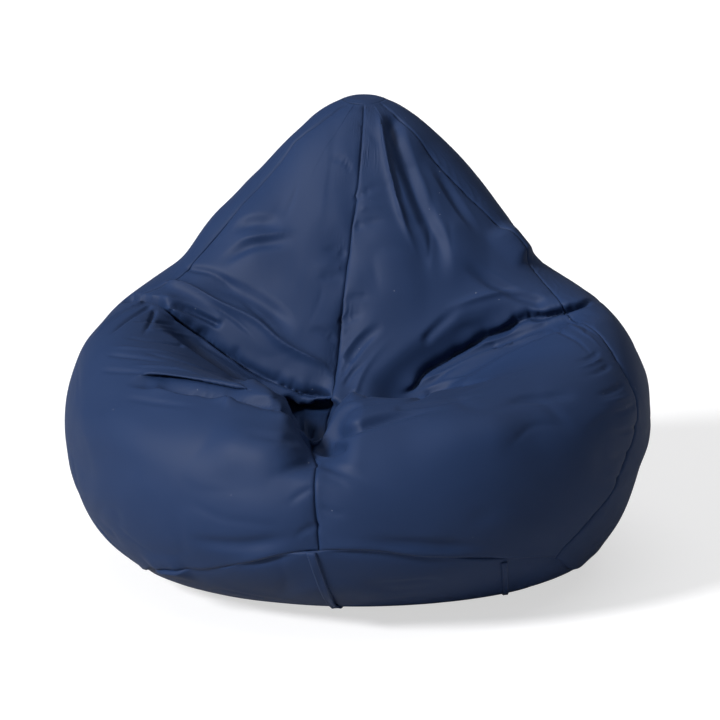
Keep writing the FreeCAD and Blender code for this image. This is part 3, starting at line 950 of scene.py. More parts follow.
@dataclass(frozen=True)
class ClothFinish:
    """A woven cloth: colour, gloss and how far its yarns stand out."""

    name: str
    colour: Colour
    roughness: float = 0.62
    sheen: float = 0.25
    sheen_tint: Colour = (0.55, 0.66, 1.0)
    yarns: float = 1400.0
    bump: float = 0.00006
    drift: float = 0.16
    lint: float = 0.55

    def material(self, effects: Effects) -> bpy.types.Material:
        """Build the material.

        Args:
            effects: The shared node groups.

        Returns:
            The cloth's material.
        """
        material = bpy.data.materials.new(self.name)
        material.use_nodes = True
        tree = material.node_tree
        shader = tree.nodes["Principled BSDF"]
        shader.inputs["Sheen Weight"].default_value = self.sheen
        shader.inputs["Sheen Roughness"].default_value = 0.45
        shader.inputs["Sheen Tint"].default_value = (*self.sheen_tint, 1.0)
        shader.inputs["Specular IOR Level"].default_value = 0.18
        where = tree.nodes.new("ShaderNodeTexCoord")
        cloth_map = tree.nodes.new("ShaderNodeUVMap")
        cloth_map.uv_map = "cloth"
        weave = effects.place(tree, effects.weave, cloth_map.outputs["UV"], Yarns_per_metre=self.yarns)
        drift = effects.place(tree, effects.drift, where.outputs["Object"], Amount=self.drift)
        lint = effects.place(tree, effects.lint, where.outputs["Object"])
        shade = tree.nodes.new("ShaderNodeMix")
        shade.data_type = "RGBA"
        shade.blend_type = "MULTIPLY"
        shade.inputs["Factor"].default_value = 1.0
        shade.inputs["A"].default_value = (*self.colour, 1.0)
        tree.links.new(drift.outputs["Shade"], shade.inputs["B"])
        yarn = tree.nodes.new("ShaderNodeMix")
        yarn.data_type = "RGBA"
        yarn.blend_type = "MIX"
        dark = tuple(0.78 * c for c in self.colour)
        tree.links.new(weave.outputs["Height"], yarn.inputs["Factor"])
        yarn.inputs["A"].default_value = (*dark, 1.0)
        tree.links.new(shade.outputs["Result"], yarn.inputs["B"])
        specks = tree.nodes.new("ShaderNodeMix")
        specks.data_type = "RGBA"
        tree.links.new(add_math(tree, "MULTIPLY", lint.outputs["Mask"], self.lint), specks.inputs["Factor"])
        tree.links.new(yarn.outputs["Result"], specks.inputs["A"])
        specks.inputs["B"].default_value = (0.45, 0.50, 0.62, 1.0)
        tree.links.new(specks.outputs["Result"], shader.inputs["Base Color"])
        gloss = add_math(tree, "MULTIPLY", drift.outputs["Shade"], self.roughness)
        tree.links.new(gloss, shader.inputs["Roughness"])
        bump = tree.nodes.new("ShaderNodeBump")
        bump.inputs["Strength"].default_value = 0.6
        bump.inputs["Distance"].default_value = self.bump
        tree.links.new(weave.outputs["Height"], bump.inputs["Height"])
        tree.links.new(bump.outputs["Normal"], shader.inputs["Normal"])
        return material


COVER_CLOTH = ClothFinish("navy_woven_polyester", (0.0112, 0.0275, 0.0810), sheen=0.015, roughness=0.60)
LINER_CLOTH = ClothFinish("thin_off_white_liner", (0.72, 0.72, 0.70), sheen=0.05, yarns=1100.0, lint=0.0)


def bead_material() -> bpy.types.Material:
    """White foam beads: rounded cells, with painted shade that darkens each bead towards its edge and fills
    the gaps between beads.
    """
    material = bpy.data.materials.new("foam_beads")
    material.use_nodes = True
    tree = material.node_tree
    shader = tree.nodes["Principled BSDF"]
    shader.inputs["Roughness"].default_value = 0.55
    where = tree.nodes.new("ShaderNodeTexCoord")
    cells = tree.nodes.new("ShaderNodeTexVoronoi")
    cells.inputs["Scale"].default_value = 240.0
    tree.links.new(where.outputs["Object"], cells.inputs["Vector"])
    # painted shade: the ramp runs from pale bead colour at each cell's middle to grey at its edge, standing
    # in for shade on the rounded beads and in the gaps between them
    ramp = tree.nodes.new("ShaderNodeValToRGB")
    ramp.color_ramp.elements[0].color = (0.90, 0.90, 0.88, 1)
    ramp.color_ramp.elements[1].color = (0.45, 0.45, 0.45, 1)
    ramp.color_ramp.elements[1].position = 0.75
    tree.links.new(cells.outputs["Distance"], ramp.inputs["Fac"])
    tree.links.new(ramp.outputs["Color"], shader.inputs["Base Color"])
    bump = tree.nodes.new("ShaderNodeBump")
    bump.invert = True
    bump.inputs["Distance"].default_value = 0.002
    tree.links.new(cells.outputs["Distance"], bump.inputs["Height"])
    tree.links.new(bump.outputs["Normal"], shader.inputs["Normal"])
    return material


@dataclass(frozen=True)
class HardFinish:
    """Painted metal or moulded nylon: colour, gloss and how much it is scuffed."""

    name: str
    colour: Colour
    worn: Colour
    roughness: float
    metallic: float = 0.0
    scuff_scale: float = 600.0

    def material(self, effects: Effects) -> bpy.types.Material:
        """Build the material.

        Args:
            effects: The shared node groups.

        Returns:
            The material.
        """
        material = bpy.data.materials.new(self.name)
        material.use_nodes = True
        tree = material.node_tree
        shader = tree.nodes["Principled BSDF"]
        shader.inputs["Metallic"].default_value = self.metallic
        where = tree.nodes.new("ShaderNodeTexCoord")
        wear = effects.place(tree, effects.drift, where.outputs["Object"], Scale=self.scuff_scale,
                             Amount=0.9)
        mix = tree.nodes.new("ShaderNodeMix")
        mix.data_type = "RGBA"
        tree.links.new(add_math(tree, "SUBTRACT", wear.outputs["Shade"], 0.85), mix.inputs["Factor"])
        mix.inputs["A"].default_value = (*self.colour, 1.0)
        mix.inputs["B"].default_value = (*self.worn, 1.0)
        tree.links.new(mix.outputs["Result"], shader.inputs["Base Color"])
        gloss = add_math(tree, "MULTIPLY", wear.outputs["Shade"], self.roughness)
        tree.links.new(gloss, shader.inputs["Roughness"])
        bump = tree.nodes.new("ShaderNodeBump")
        bump.inputs["Strength"].default_value = 0.3
        bump.inputs["Distance"].default_value = 0.00005
        tree.links.new(wear.outputs["Shade"], bump.inputs["Height"])
        tree.links.new(bump.outputs["Normal"], shader.inputs["Normal"])
        return material


THREAD = HardFinish("navy_sewing_thread", (0.016, 0.032, 0.086), (0.030, 0.050, 0.115), 0.55)
NYLON = HardFinish("navy_nylon_coil", (0.014, 0.024, 0.060), (0.030, 0.045, 0.090), 0.38)
ZIP_METAL = HardFinish("dark_painted_zinc", (0.045, 0.045, 0.055), (0.30, 0.30, 0.31), 0.36, 0.6)
TAPE_CLOTH = ClothFinish("navy_zip_tape", (0.014, 0.024, 0.062), yarns=1600.0, bump=0.0001, lint=0.0)


# --- Cloth panels --------------------------------------------------------------------------


@dataclass
class PanelMaker:
    """Cuts panels out of the cloth grid and gives each one a thickness."""

    grid: ClothGrid
    thickness: float = 0.0012

    def sheet(self, name: str, rows: slice, columns: np.ndarray) -> bpy.types.Object:
        """Panel from a block of the grid.

        Args:
            name: The piece's name.
            rows: Grid rows, both edges included.
            columns: Column numbers, in order, wrapped round the bag where needed.

        Returns:
            The panel.
        """
        points = self.grid.points[rows][:, columns % self.grid.points.shape[1]]
        high, wide = points.shape[:2]
        index = np.arange(high * wide).reshape(high, wide)
        faces = np.stack([index[:-1, :-1], index[:-1, 1:], index[1:, 1:], index[1:, :-1]], -1).reshape(-1, 4)
        return self.piece(name, points.reshape(-1, 3), faces, self.cloth_map(points))

    def round_sheet(self, name: str, rows: slice) -> bpy.types.Object:
        """Panel that closes on itself all round the bag, with the cloth map laid from above.

        Args:
            name: The piece's name.
            rows: Rows of the grid that it takes.

        Returns:
            The piece.
        """
        points = self.grid.points[rows]
        high, wide = points.shape[:2]
        index = np.arange(high * wide).reshape(high, wide)
        right = np.roll(index, -1, axis=1)
        faces = np.stack([index[:-1], right[:-1], right[1:], index[1:]], -1).reshape(-1, 4)
        flat = points.reshape(-1, 3)
        return self.piece(name, flat, faces, flat[:, :2])

    @staticmethod
    def cloth_map(points: np.ndarray) -> np.ndarray:
        """Cloth coordinates in metres, along and across the panel's middle column.

        Args:
            points: The panel's points, by row and column.

        Returns:
            Two coordinates per point.
        """
        high, wide = points.shape[:2]
        across = np.linalg.norm(np.diff(points, axis=1), axis=2)
        upward = np.linalg.norm(np.diff(points, axis=0), axis=2)
        u = np.concatenate([np.zeros((high, 1)), np.cumsum(across, 1)], 1)
        u -= u[:, wide // 2][:, None]
        v = np.concatenate([np.zeros((1, wide)), np.cumsum(upward, 0)], 0)
        return np.stack([u.ravel(), v.ravel()], -1)

    def piece(self, name: str, points: np.ndarray, faces: np.ndarray, flat: np.ndarray) -> bpy.types.Object:
        """Cloth object from outer points and faces, given its thickness inwards.

        Args:
            name: The piece's name.
            points: Outer points.
            faces: Quads that face outwards.
            flat: Cloth coordinates of each point.

        Returns:
            The cloth object.
        """
        mesh = bpy.data.meshes.new(name)
        mesh.from_pydata(points.tolist(), [], faces.tolist())
        layer = mesh.uv_layers.new(name="cloth")
        layer.data.foreach_set("uv", flat[faces.ravel()].astype(np.float32).ravel())
        mesh.shade_smooth()
        piece = bpy.data.objects.new(name, mesh)
        bpy.context.scene.collection.objects.link(piece)
        solid = piece.modifiers.new("cloth_thickness", "SOLIDIFY")
        solid.thickness = self.thickness
        solid.offset = -1.0
        return piece


# --- Cover ---------------------------------------------------------------------------------


@dataclass
class Cover:
    """The cover's gores, top cap and base."""

    grid: ClothGrid = field(default_factory=lambda: ClothGrid(BagForm()))

    def form(self) -> None:
        """Shape the cloth from the plain form to the creased one."""
        self.grid.build()
        cloth = Cloth(self.grid)
        for family in FOLDS[:BROAD_FAMILIES]:
            cloth.press(list(family))
        cloth.steady = self.grid.normals()
        for family in FOLDS[BROAD_FAMILIES:SHARP_FAMILIES]:
            cloth.press(list(family))
        cloth.relax(3)
        for family in FOLDS[SHARP_FAMILIES:]:
            cloth.press(list(family))
        cloth.crumple(Looseness())
        cloth.relax(1)
        cloth.sew(UPRIGHT_SEAMS, Ripple(11))
        cloth.overhang(OverhangLook(), Ripple(12))

    def pieces(self) -> list[bpy.types.Object]:
        """Cut the panels from the shaped cloth."""
        maker = PanelMaker(self.grid)
        rows = slice(self.grid.base_seam_row, self.grid.top_seam_row + 1)
        made = []
        for number, gore in enumerate(Gore):
            columns = np.arange(self.grid.starts[number], self.grid.starts[number + 1] + 1)
            made.append(maker.sheet(f"cloth_{gore.value}", rows, columns))
            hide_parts(f"cover_{self.cad_name(gore)}_panel")
        made.append(maker.round_sheet("cloth_top_cap", slice(self.grid.top_seam_row, None)))
        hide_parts("cover_top_cap")
        return made

    def base_sheet(self) -> bpy.types.Object:
        """The whole base cloth in one sheet."""
        return PanelMaker(self.grid).round_sheet("cloth_base", slice(0, self.grid.base_seam_row + 1))

    @staticmethod
    def cad_name(gore: Gore) -> str:
        """The gore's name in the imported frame."""
        return gore.value


# --- Base: its three panels, the zip flap and the felled seam ------------------------------


@dataclass(frozen=True)
class SeamPlane:
    """Leaning plane that a seam of the base follows: its x at the floor and its lean to the left."""

    floor_x: float
    lean: float

    def x_at(self, height: float) -> float:
        """The plane's x at a height."""
        return self.floor_x - self.lean * height

    def cut(self, mesh: bmesh.types.BMesh, keep_left: bool) -> None:
        """Cut a mesh along the plane and keep one side of it.

        Args:
            mesh: The mesh, cut in place.
            keep_left: Whether the left side stays.
        """
        normal = Vector((1.0, 0.0, self.lean))
        if not keep_left:
            normal = -normal
        bmesh.ops.bisect_plane(
            mesh, geom=list(mesh.verts) + list(mesh.edges) + list(mesh.faces), dist=1e-6,
            plane_co=Vector((self.floor_x, 0, 0)), plane_no=normal, clear_outer=True,
        )


FLOOR_GAP = 0.0009
FLAP_PLANE = SeamPlane(-0.030, 0.26)
FELLED_PLANE = SeamPlane(0.219, 0.095)


@dataclass
class BaseStrip:
    """Band of doubled cloth sewn over a seam of the base, with its two rows of stitches."""

    name: str
    plane: SeamPlane
    width: float
    thickness: float
    stitch_inset: float
    edge_lift: float = 0.0
    gape_place: float = 0.135
    gape_length: float = 0.028
    stitch_pitch: float = 0.0043
    across: int = 12
    samples: int = 420

    def track(self, tree: BVHTree, offset: float) -> tuple[np.ndarray, np.ndarray]:
        """Line on the base cloth at an offset from the seam, from the front to the back.

        Args:
            tree: Search tree of the base cloth.
            offset: Distance to the right of the seam.

        Returns:
            Points of the line and the cloth's outward normals there; missed points are NaN.
        """
        points = np.full((self.samples, 3), np.nan)
        normals = np.full((self.samples, 3), np.nan)
        for i, turn in enumerate(np.linspace(math.radians(-4), math.radians(184), self.samples)):
            ray = Vector((0.0, -math.cos(turn), -math.sin(turn)))
            height = 0.0
            hit = None
            for _ in range(3):
                start = Vector((self.plane.x_at(height) + offset, 0.02, 0.17))
                hit, normal, _, _ = tree.ray_cast(start, ray)
                if hit is None:
                    break
                height = hit.z
            if hit is not None:
                points[i] = hit
                normals[i] = normal if normal.dot(ray) > 0 else -normal
        return points, normals

    def lay(self, tree: BVHTree) -> tuple[np.ndarray, np.ndarray, np.ndarray]:
        """Grid of the band's outer face.

        Args:
            tree: Search tree of the base cloth.

        Returns:
            Places across the band from -1 to 1, the points and the normals, each by length and width.
        """
        places = np.linspace(-1, 1, self.across + 1)
        tracks = [self.track(tree, place * self.width / 2) for place in places]
        points = np.stack([t[0] for t in tracks], 1)
        normals = np.stack([t[1] for t in tracks], 1)
        good = ~np.isnan(points).any(axis=(1, 2))
        points, normals = points[good], normals[good]
        for _ in range(3):
            normals[1:-1] = unit(normals[1:-1] * 2 + normals[2:] + normals[:-2])
        return places, points, normals

    def build(self, tree: BVHTree) -> tuple[bpy.types.Object, bpy.types.Object]:
        """Make the band and its stitches.

        Args:
            tree: Search tree of the base cloth.

        Returns:
            The band and the stitches.
        """
        places, points, normals = self.lay(tree)
        walked = walk(points[:, self.across // 2])
        crown = 1.0 - 0.85 * np.abs(places) ** 7
        lift = np.exp(-(((walked - self.gape_place) / self.gape_length) ** 2))
        gape = lift[:, None] * smooth((places + 0.4) / 1.4)[None]
        ripple = 0.0004 * np.sin(walked[:, None] / 0.013 + 2.0 * places[None])
        rise = self.thickness * crown[None] + self.edge_lift * gape + ripple * crown[None]
        outer = points + normals * (rise + 0.0006)[..., None]
        inner = points - normals * 0.0003 + normals * (self.edge_lift * gape * 0.8)[..., None]
        outer[..., 2] = np.maximum(outer[..., 2], FLOOR_GAP / 4)
        inner[..., 2] = np.maximum(inner[..., 2], FLOOR_GAP)
        band = self.closed_band(outer, inner)
        row = self.width / 2 - self.stitch_inset
        stitches = []
        for side in (-1.0, 1.0):
            place = side * row / (self.width / 2)
            column = np.clip(np.searchsorted(places, place), 1, self.across)
            share = (place - places[column - 1]) / (places[column] - places[column - 1])
            line = outer[:, column - 1] * (1 - share) + outer[:, column] * share
            stitches.append(self.sew(line, normals[:, column]))
        return band, mesh_of(self.name + "_stitches", stitches)

    def closed_band(self, outer: np.ndarray, inner: np.ndarray) -> bpy.types.Object:
        """Closed strip between an outer and an inner grid.

        Args:
            outer: Points of the outer face, by length and width.
            inner: Points of the inner face.

        Returns:
            The strip.
        """
        length, width = outer.shape[:2]
        index = np.arange(length * width).reshape(length, width)
        other = index + length * width

        def quads(grid: np.ndarray) -> np.ndarray:
            """Quads of a grid of indices."""
            return np.stack([grid[:-1, :-1], grid[:-1, 1:], grid[1:, 1:], grid[1:, :-1]], -1).reshape(-1, 4)

        def rim(a: np.ndarray, b: np.ndarray) -> np.ndarray:
            """Quads between two lines of indices."""
            return np.stack([a[:-1], a[1:], b[1:], b[:-1]], -1)

        faces = np.concatenate([
            quads(index), quads(other)[:, ::-1],
            rim(index[:, 0], other[:, 0]), rim(other[:, -1], index[:, -1]),
            rim(other[0], index[0]), rim(index[-1], other[-1]),
        ])
        points = np.concatenate([outer.reshape(-1, 3), inner.reshape(-1, 3)])
        along = walk(outer[:, width // 2])[:, None]
        sideways = np.linspace(0, self.width, width)[None]
        flat = np.stack(np.broadcast_arrays(sideways, along), -1).reshape(-1, 2)
        return mesh_of(self.name, [(points, faces)], np.concatenate([flat, flat]))

    def sew(self, line: np.ndarray, normals: np.ndarray) -> tuple[np.ndarray, np.ndarray]:
        """Row of stitches along a line.

        Args:
            line: The row's points.
            normals: The cloth's outward normals.

        Returns:
            Points and faces of all the stitches.
        """
        walked = walk(line)
        places = np.arange(0.004, walked[-1] - 0.004, self.stitch_pitch)
        centre = np.stack([np.interp(places, walked, line[:, k]) for k in range(3)], -1)
        ahead = np.stack([np.interp(places + 0.001, walked, line[:, k]) for k in range(3)], -1)
        normal = unit(np.stack([np.interp(places, walked, normals[:, k]) for k in range(3)], -1))
        along = unit(ahead - centre)
        across = np.cross(normal, along)
        sides = 6
        turns = np.arange(sides) * 2 * math.pi / sides
        rings = [(-1.0, 0.25), (-0.7, 0.85), (0.0, 1.0), (0.7, 0.85), (1.0, 0.25)]
        length, thick = self.stitch_pitch * 0.37, 0.00038
        template = np.array([(a * length, math.cos(t) * r * thick, math.sin(t) * r * thick)
                             for a, r in rings for t in turns])
        frame = np.stack([along, across, normal], 1)
        points = centre[:, None] + np.einsum("vk,skx->svx", template, frame) + normal[:, None] * 0.00012
        index = np.arange(len(rings) * sides).reshape(len(rings), sides)
        right = np.roll(index, -1, axis=1)
        tube = np.stack([index[:-1], right[:-1], right[1:], index[1:]], -1).reshape(-1, 4)
        low = [(index[0][0], index[0][k + 1], index[0][k], index[0][k]) for k in range(1, sides - 1)]
        top = index[-1]
        high = [(top[0], top[k], top[k + 1], top[k + 1]) for k in range(1, sides - 1)]
        faces = np.concatenate([tube, np.array(low), np.array(high)])
        points[..., 2] = np.maximum(points[..., 2], 0.0)
        shift = np.arange(len(points)) * len(template)
        return points.reshape(-1, 3), (faces[None] + shift[:, None, None]).reshape(-1, 4)


def mesh_of(name: str, parts: list[tuple[np.ndarray, np.ndarray]],
            flat: np.ndarray | None = None) -> bpy.types.Object:
    """Object made of several point and face blocks.

    Args:
        name: The object's name.
        parts: (points, faces) blocks; a face whose last two corners are the same is a triangle.
        flat: Cloth coordinates of every point, if it has them.

    Returns:
        The object, linked to the scene.
    """
    points, faces, start = [], [], 0
    for block, quads in parts:
        points.append(block)
        faces.append(quads + start)
        start += len(block)
    corners = np.concatenate(faces)
    listed = [row[:3].tolist() if row[2] == row[3] else row.tolist() for row in corners]
    mesh = bpy.data.meshes.new(name)
    mesh.from_pydata(np.concatenate(points).tolist(), [], listed)
    if flat is not None:
        layer = mesh.uv_layers.new(name="cloth")
        used = np.zeros(len(mesh.loops), int)
        mesh.loops.foreach_get("vertex_index", used)
        layer.data.foreach_set("uv", flat[used].astype(np.float32).ravel())
    mesh.shade_smooth()
    piece = bpy.data.objects.new(name, mesh)
    bpy.context.scene.collection.objects.link(piece)
    return piece


@dataclass
class Base:
    """The base of the cover: three panels, the lapped zip flap and the felled seam."""

    flap: BaseStrip = field(default_factory=lambda: BaseStrip(
        "zip_flap_cloth", FLAP_PLANE, 0.0150, 0.0024, 0.0026, edge_lift=0.0060))
    felled: BaseStrip = field(default_factory=lambda: BaseStrip(
        "felled_seam_cloth", FELLED_PLANE, 0.0095, 0.0017, 0.0019))

    weld: float = 0.0006

    def panels(self, whole: bpy.types.Object) -> list[bpy.types.Object]:
        """Cut the base cloth into its left, middle and right panels.

        Args:
            whole: The base cloth in one sheet, which is used up.

        Returns:
            The three panels.
        """
        cuts = {
            "cloth_base_left": ((FLAP_PLANE, True),),
            "cloth_base_middle": ((FLAP_PLANE, False), (FELLED_PLANE, True)),
            "cloth_base_right": ((FELLED_PLANE, False),),
        }
        made = []
        for name, planes in cuts.items():
            piece = whole.copy()
            piece.data = whole.data.copy()
            piece.name = piece.data.name = name
            bpy.context.scene.collection.objects.link(piece)
            work = bmesh.new()
            work.from_mesh(piece.data)
            bmesh.ops.remove_doubles(work, verts=work.verts, dist=self.weld)
            for plane, keep_left in planes:
                plane.cut(work, keep_left)
            work.to_mesh(piece.data)
            work.free()
            piece.data.shade_smooth()
            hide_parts(name.replace("cloth_", "") + "_panel")
            made.append(piece)
        return made

    def build(self, whole: bpy.types.Object) -> tuple[list[bpy.types.Object], list[bpy.types.Object]]:
        """Make the panels, both strips and their stitches.

        Args:
            whole: The base cloth in one sheet.

        Returns:
            The cloth pieces and the thread pieces.
        """
        for vertex in whole.data.vertices:
            vertex.co.z = max(vertex.co.z, FLOOR_GAP)
        corners = [tuple(v.co) for v in whole.data.vertices]
        tree = BVHTree.FromPolygons(corners, [tuple(face.vertices) for face in whole.data.polygons])
        cloth = self.panels(whole)
        threads = []
        for strip in (self.flap, self.felled):
            band, stitches = strip.build(tree)
            cloth.append(band)
            threads.append(stitches)
        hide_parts("zip_flap")
        bpy.data.objects.remove(whole)
        return cloth, threads


# --- Zips ----------------------------------------------------------------------------------


@dataclass(frozen=True)
class ZipDress:
    """The soft and moulded pieces of one zip: its tapes and its coils."""

    prefix: str
    strand: float = 0.00028
    turn_pitch: float = 0.00125

    def tape(self, node: str) -> bpy.types.Object:
        """Woven tape with rounded selvedges and a slight wave.

        Args:
            node: The tape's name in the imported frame.

        Returns:
            The tape.
        """
        low, high = (np.array(corner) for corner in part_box(node))
        across, along = 14, 260
        u = np.linspace(0, 1, across + 1)
        v = np.linspace(0, 1, along + 1)
        x = low[0] + (high[0] - low[0]) * u
        y = low[1] + (high[1] - low[1]) * v
        middle = (low[2] + high[2]) / 2
        half = (high[2] - low[2]) / 2 * (1.0 - 0.55 * np.abs(2 * u - 1) ** 8)
        wave = 0.00005 * np.sin(v * 90.0)[:, None] * u[None]
        grid = np.zeros((along + 1, across + 1, 3))
        grid[..., 0], grid[..., 1] = x[None], y[:, None]
        upper, lower = grid.copy(), grid.copy()
        upper[..., 2] = middle + half[None] * 0.92 + wave
        lower[..., 2] = middle - half[None] * 0.92 + wave
        strip = BaseStrip(f"{node}_woven", FLAP_PLANE, high[0] - low[0], 0.0, 0.0)
        return strip.closed_band(upper, lower)

    def coil(self, node: str) -> bpy.types.Object:
        """Nylon coil: a fine strand wound along the tape's edge.

        Args:
            node: The coil row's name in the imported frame.

        Returns:
            The coil.
        """
        low, high = (np.array(corner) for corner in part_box(node))
        radius = (high[2] - low[2]) / 2 - self.strand
        turns = (high[1] - low[1] - 2 * self.strand) / self.turn_pitch
        steps, sides = int(turns * 11), 5
        t = np.linspace(0, 2 * math.pi * turns, steps)
        centre = (low + high) / 2
        line = np.stack([
            centre[0] + radius * np.cos(t),
            low[1] + self.strand + self.turn_pitch * t / (2 * math.pi),
            centre[2] + radius * np.sin(t),
        ], -1)
        along = unit(np.gradient(line, axis=0))
        out = unit(line * [1, 0, 1] - centre * [1, 0, 1])
        side = np.cross(along, out)
        angle = np.arange(sides) * 2 * math.pi / sides
        ring = out[:, None] * np.cos(angle)[None, :, None] + side[:, None] * np.sin(angle)[None, :, None]
        points = line[:, None] + ring * self.strand
        index = np.arange(steps * sides).reshape(steps, sides)
        right = np.roll(index, -1, axis=1)
        quads = np.stack([index[:-1], index[1:], right[1:], right[:-1]], -1).reshape(-1, 4)
        ends = [(index[0][0], index[0][k], index[0][k + 1], index[0][k + 1]) for k in range(1, sides - 1)]
        ends += [(index[-1][0], index[-1][k + 1], index[-1][k], index[-1][k]) for k in range(1, sides - 1)]
        return mesh_of(f"{node}_wound", [(points.reshape(-1, 3), np.concatenate([quads, np.array(ends)]))])

    def build(self, tape_cloth: bpy.types.Material, nylon: bpy.types.Material) -> list[bpy.types.Object]:
        """Make the tapes and coils of both sides, with their finishes.

        Args:
            tape_cloth: The tapes' finish.
            nylon: The coils' finish.

        Returns:
            The four pieces.
        """
        made = []
        for side in ("left", "right"):
            for kind, maker, finish in (("tape", self.tape, tape_cloth), ("coil", self.coil, nylon)):
                node = f"{self.prefix}_zip_{kind}_{side}"
                piece = maker(node)
                piece.data.materials.append(finish)
                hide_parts(node)
                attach(piece, BAG_BODY)
                made.append(piece)
        return made


@dataclass
class Inside:
    """The liner and the bead fill, which follow the shaped cover from within."""

    grid: ClothGrid
    step: int = 3
    reach: int = 10
    side_share: float = 0.9

    def __post_init__(self) -> None:
        """Measure how far the folds push the cover in, taking the deepest place nearby."""
        moved = self.grid.points - self.grid.rest_points
        depth = np.minimum((moved * self.grid.rest_normals).sum(-1), 0.0)
        sideways = np.linalg.norm(moved, axis=-1)
        depth = depth - self.side_share * sideways
        for _ in range(self.reach):
            depth = np.minimum.reduce([depth, np.roll(depth, 1, 1), np.roll(depth, -1, 1)])
            depth[1:-1] = np.minimum.reduce([depth[1:-1], depth[2:], depth[:-2]])
        for _ in range(self.reach * 2):
            depth = (np.roll(depth, 1, 1) + 2 * depth + np.roll(depth, -1, 1)) / 4
            depth[1:-1] = (depth[2:] + 2 * depth[1:-1] + depth[:-2]) / 4
        self.depth = depth

    def skin(self, name: str, inset: float, lowest: float) -> bpy.types.Object:
        """Coarser closed skin inside the cover.

        Args:
            name: The piece's name.
            inset: How far it lies inside the cover.
            lowest: Height of its underside, above the zips.

        Returns:
            The skin.
        """
        last = len(self.grid.points) - 1
        rows = np.unique(np.append(np.arange(0, last, self.step), last))
        deeper = (self.depth - inset)[..., None] * self.grid.rest_normals
        points = (self.grid.rest_points + deeper)[rows][:, :: self.step]
        points[..., 2] = np.maximum(points[..., 2], lowest)
        high, wide = points.shape[:2]
        index = np.arange(high * wide).reshape(high, wide)
        right = np.roll(index, -1, axis=1)
        quads = np.stack([index[:-1], right[:-1], right[1:], index[1:]], -1).reshape(-1, 4)
        mesh = bpy.data.meshes.new(name)
        caps = [index[0][::-1].tolist(), index[-1].tolist()]
        mesh.from_pydata(points.reshape(-1, 3).tolist(), [], quads.tolist() + caps)
        mesh.shade_smooth()
        piece = bpy.data.objects.new(name, mesh)
        bpy.context.scene.collection.objects.link(piece)
        return piece


# --- Folds ---------------------------------------------------------------------------------
#
# Each path runs across and up on an upright sheet that faces the fold's viewer, in metres. The sheet's
# height 0.36 lies at the middle of the view. Families are pressed in one after another.

ABOVE = Viewer(elevation=70.0)
DOWNWARD = (0.0, 0.0, 1.0)
BACKWARD = (0.0, 1.0, 0.0)

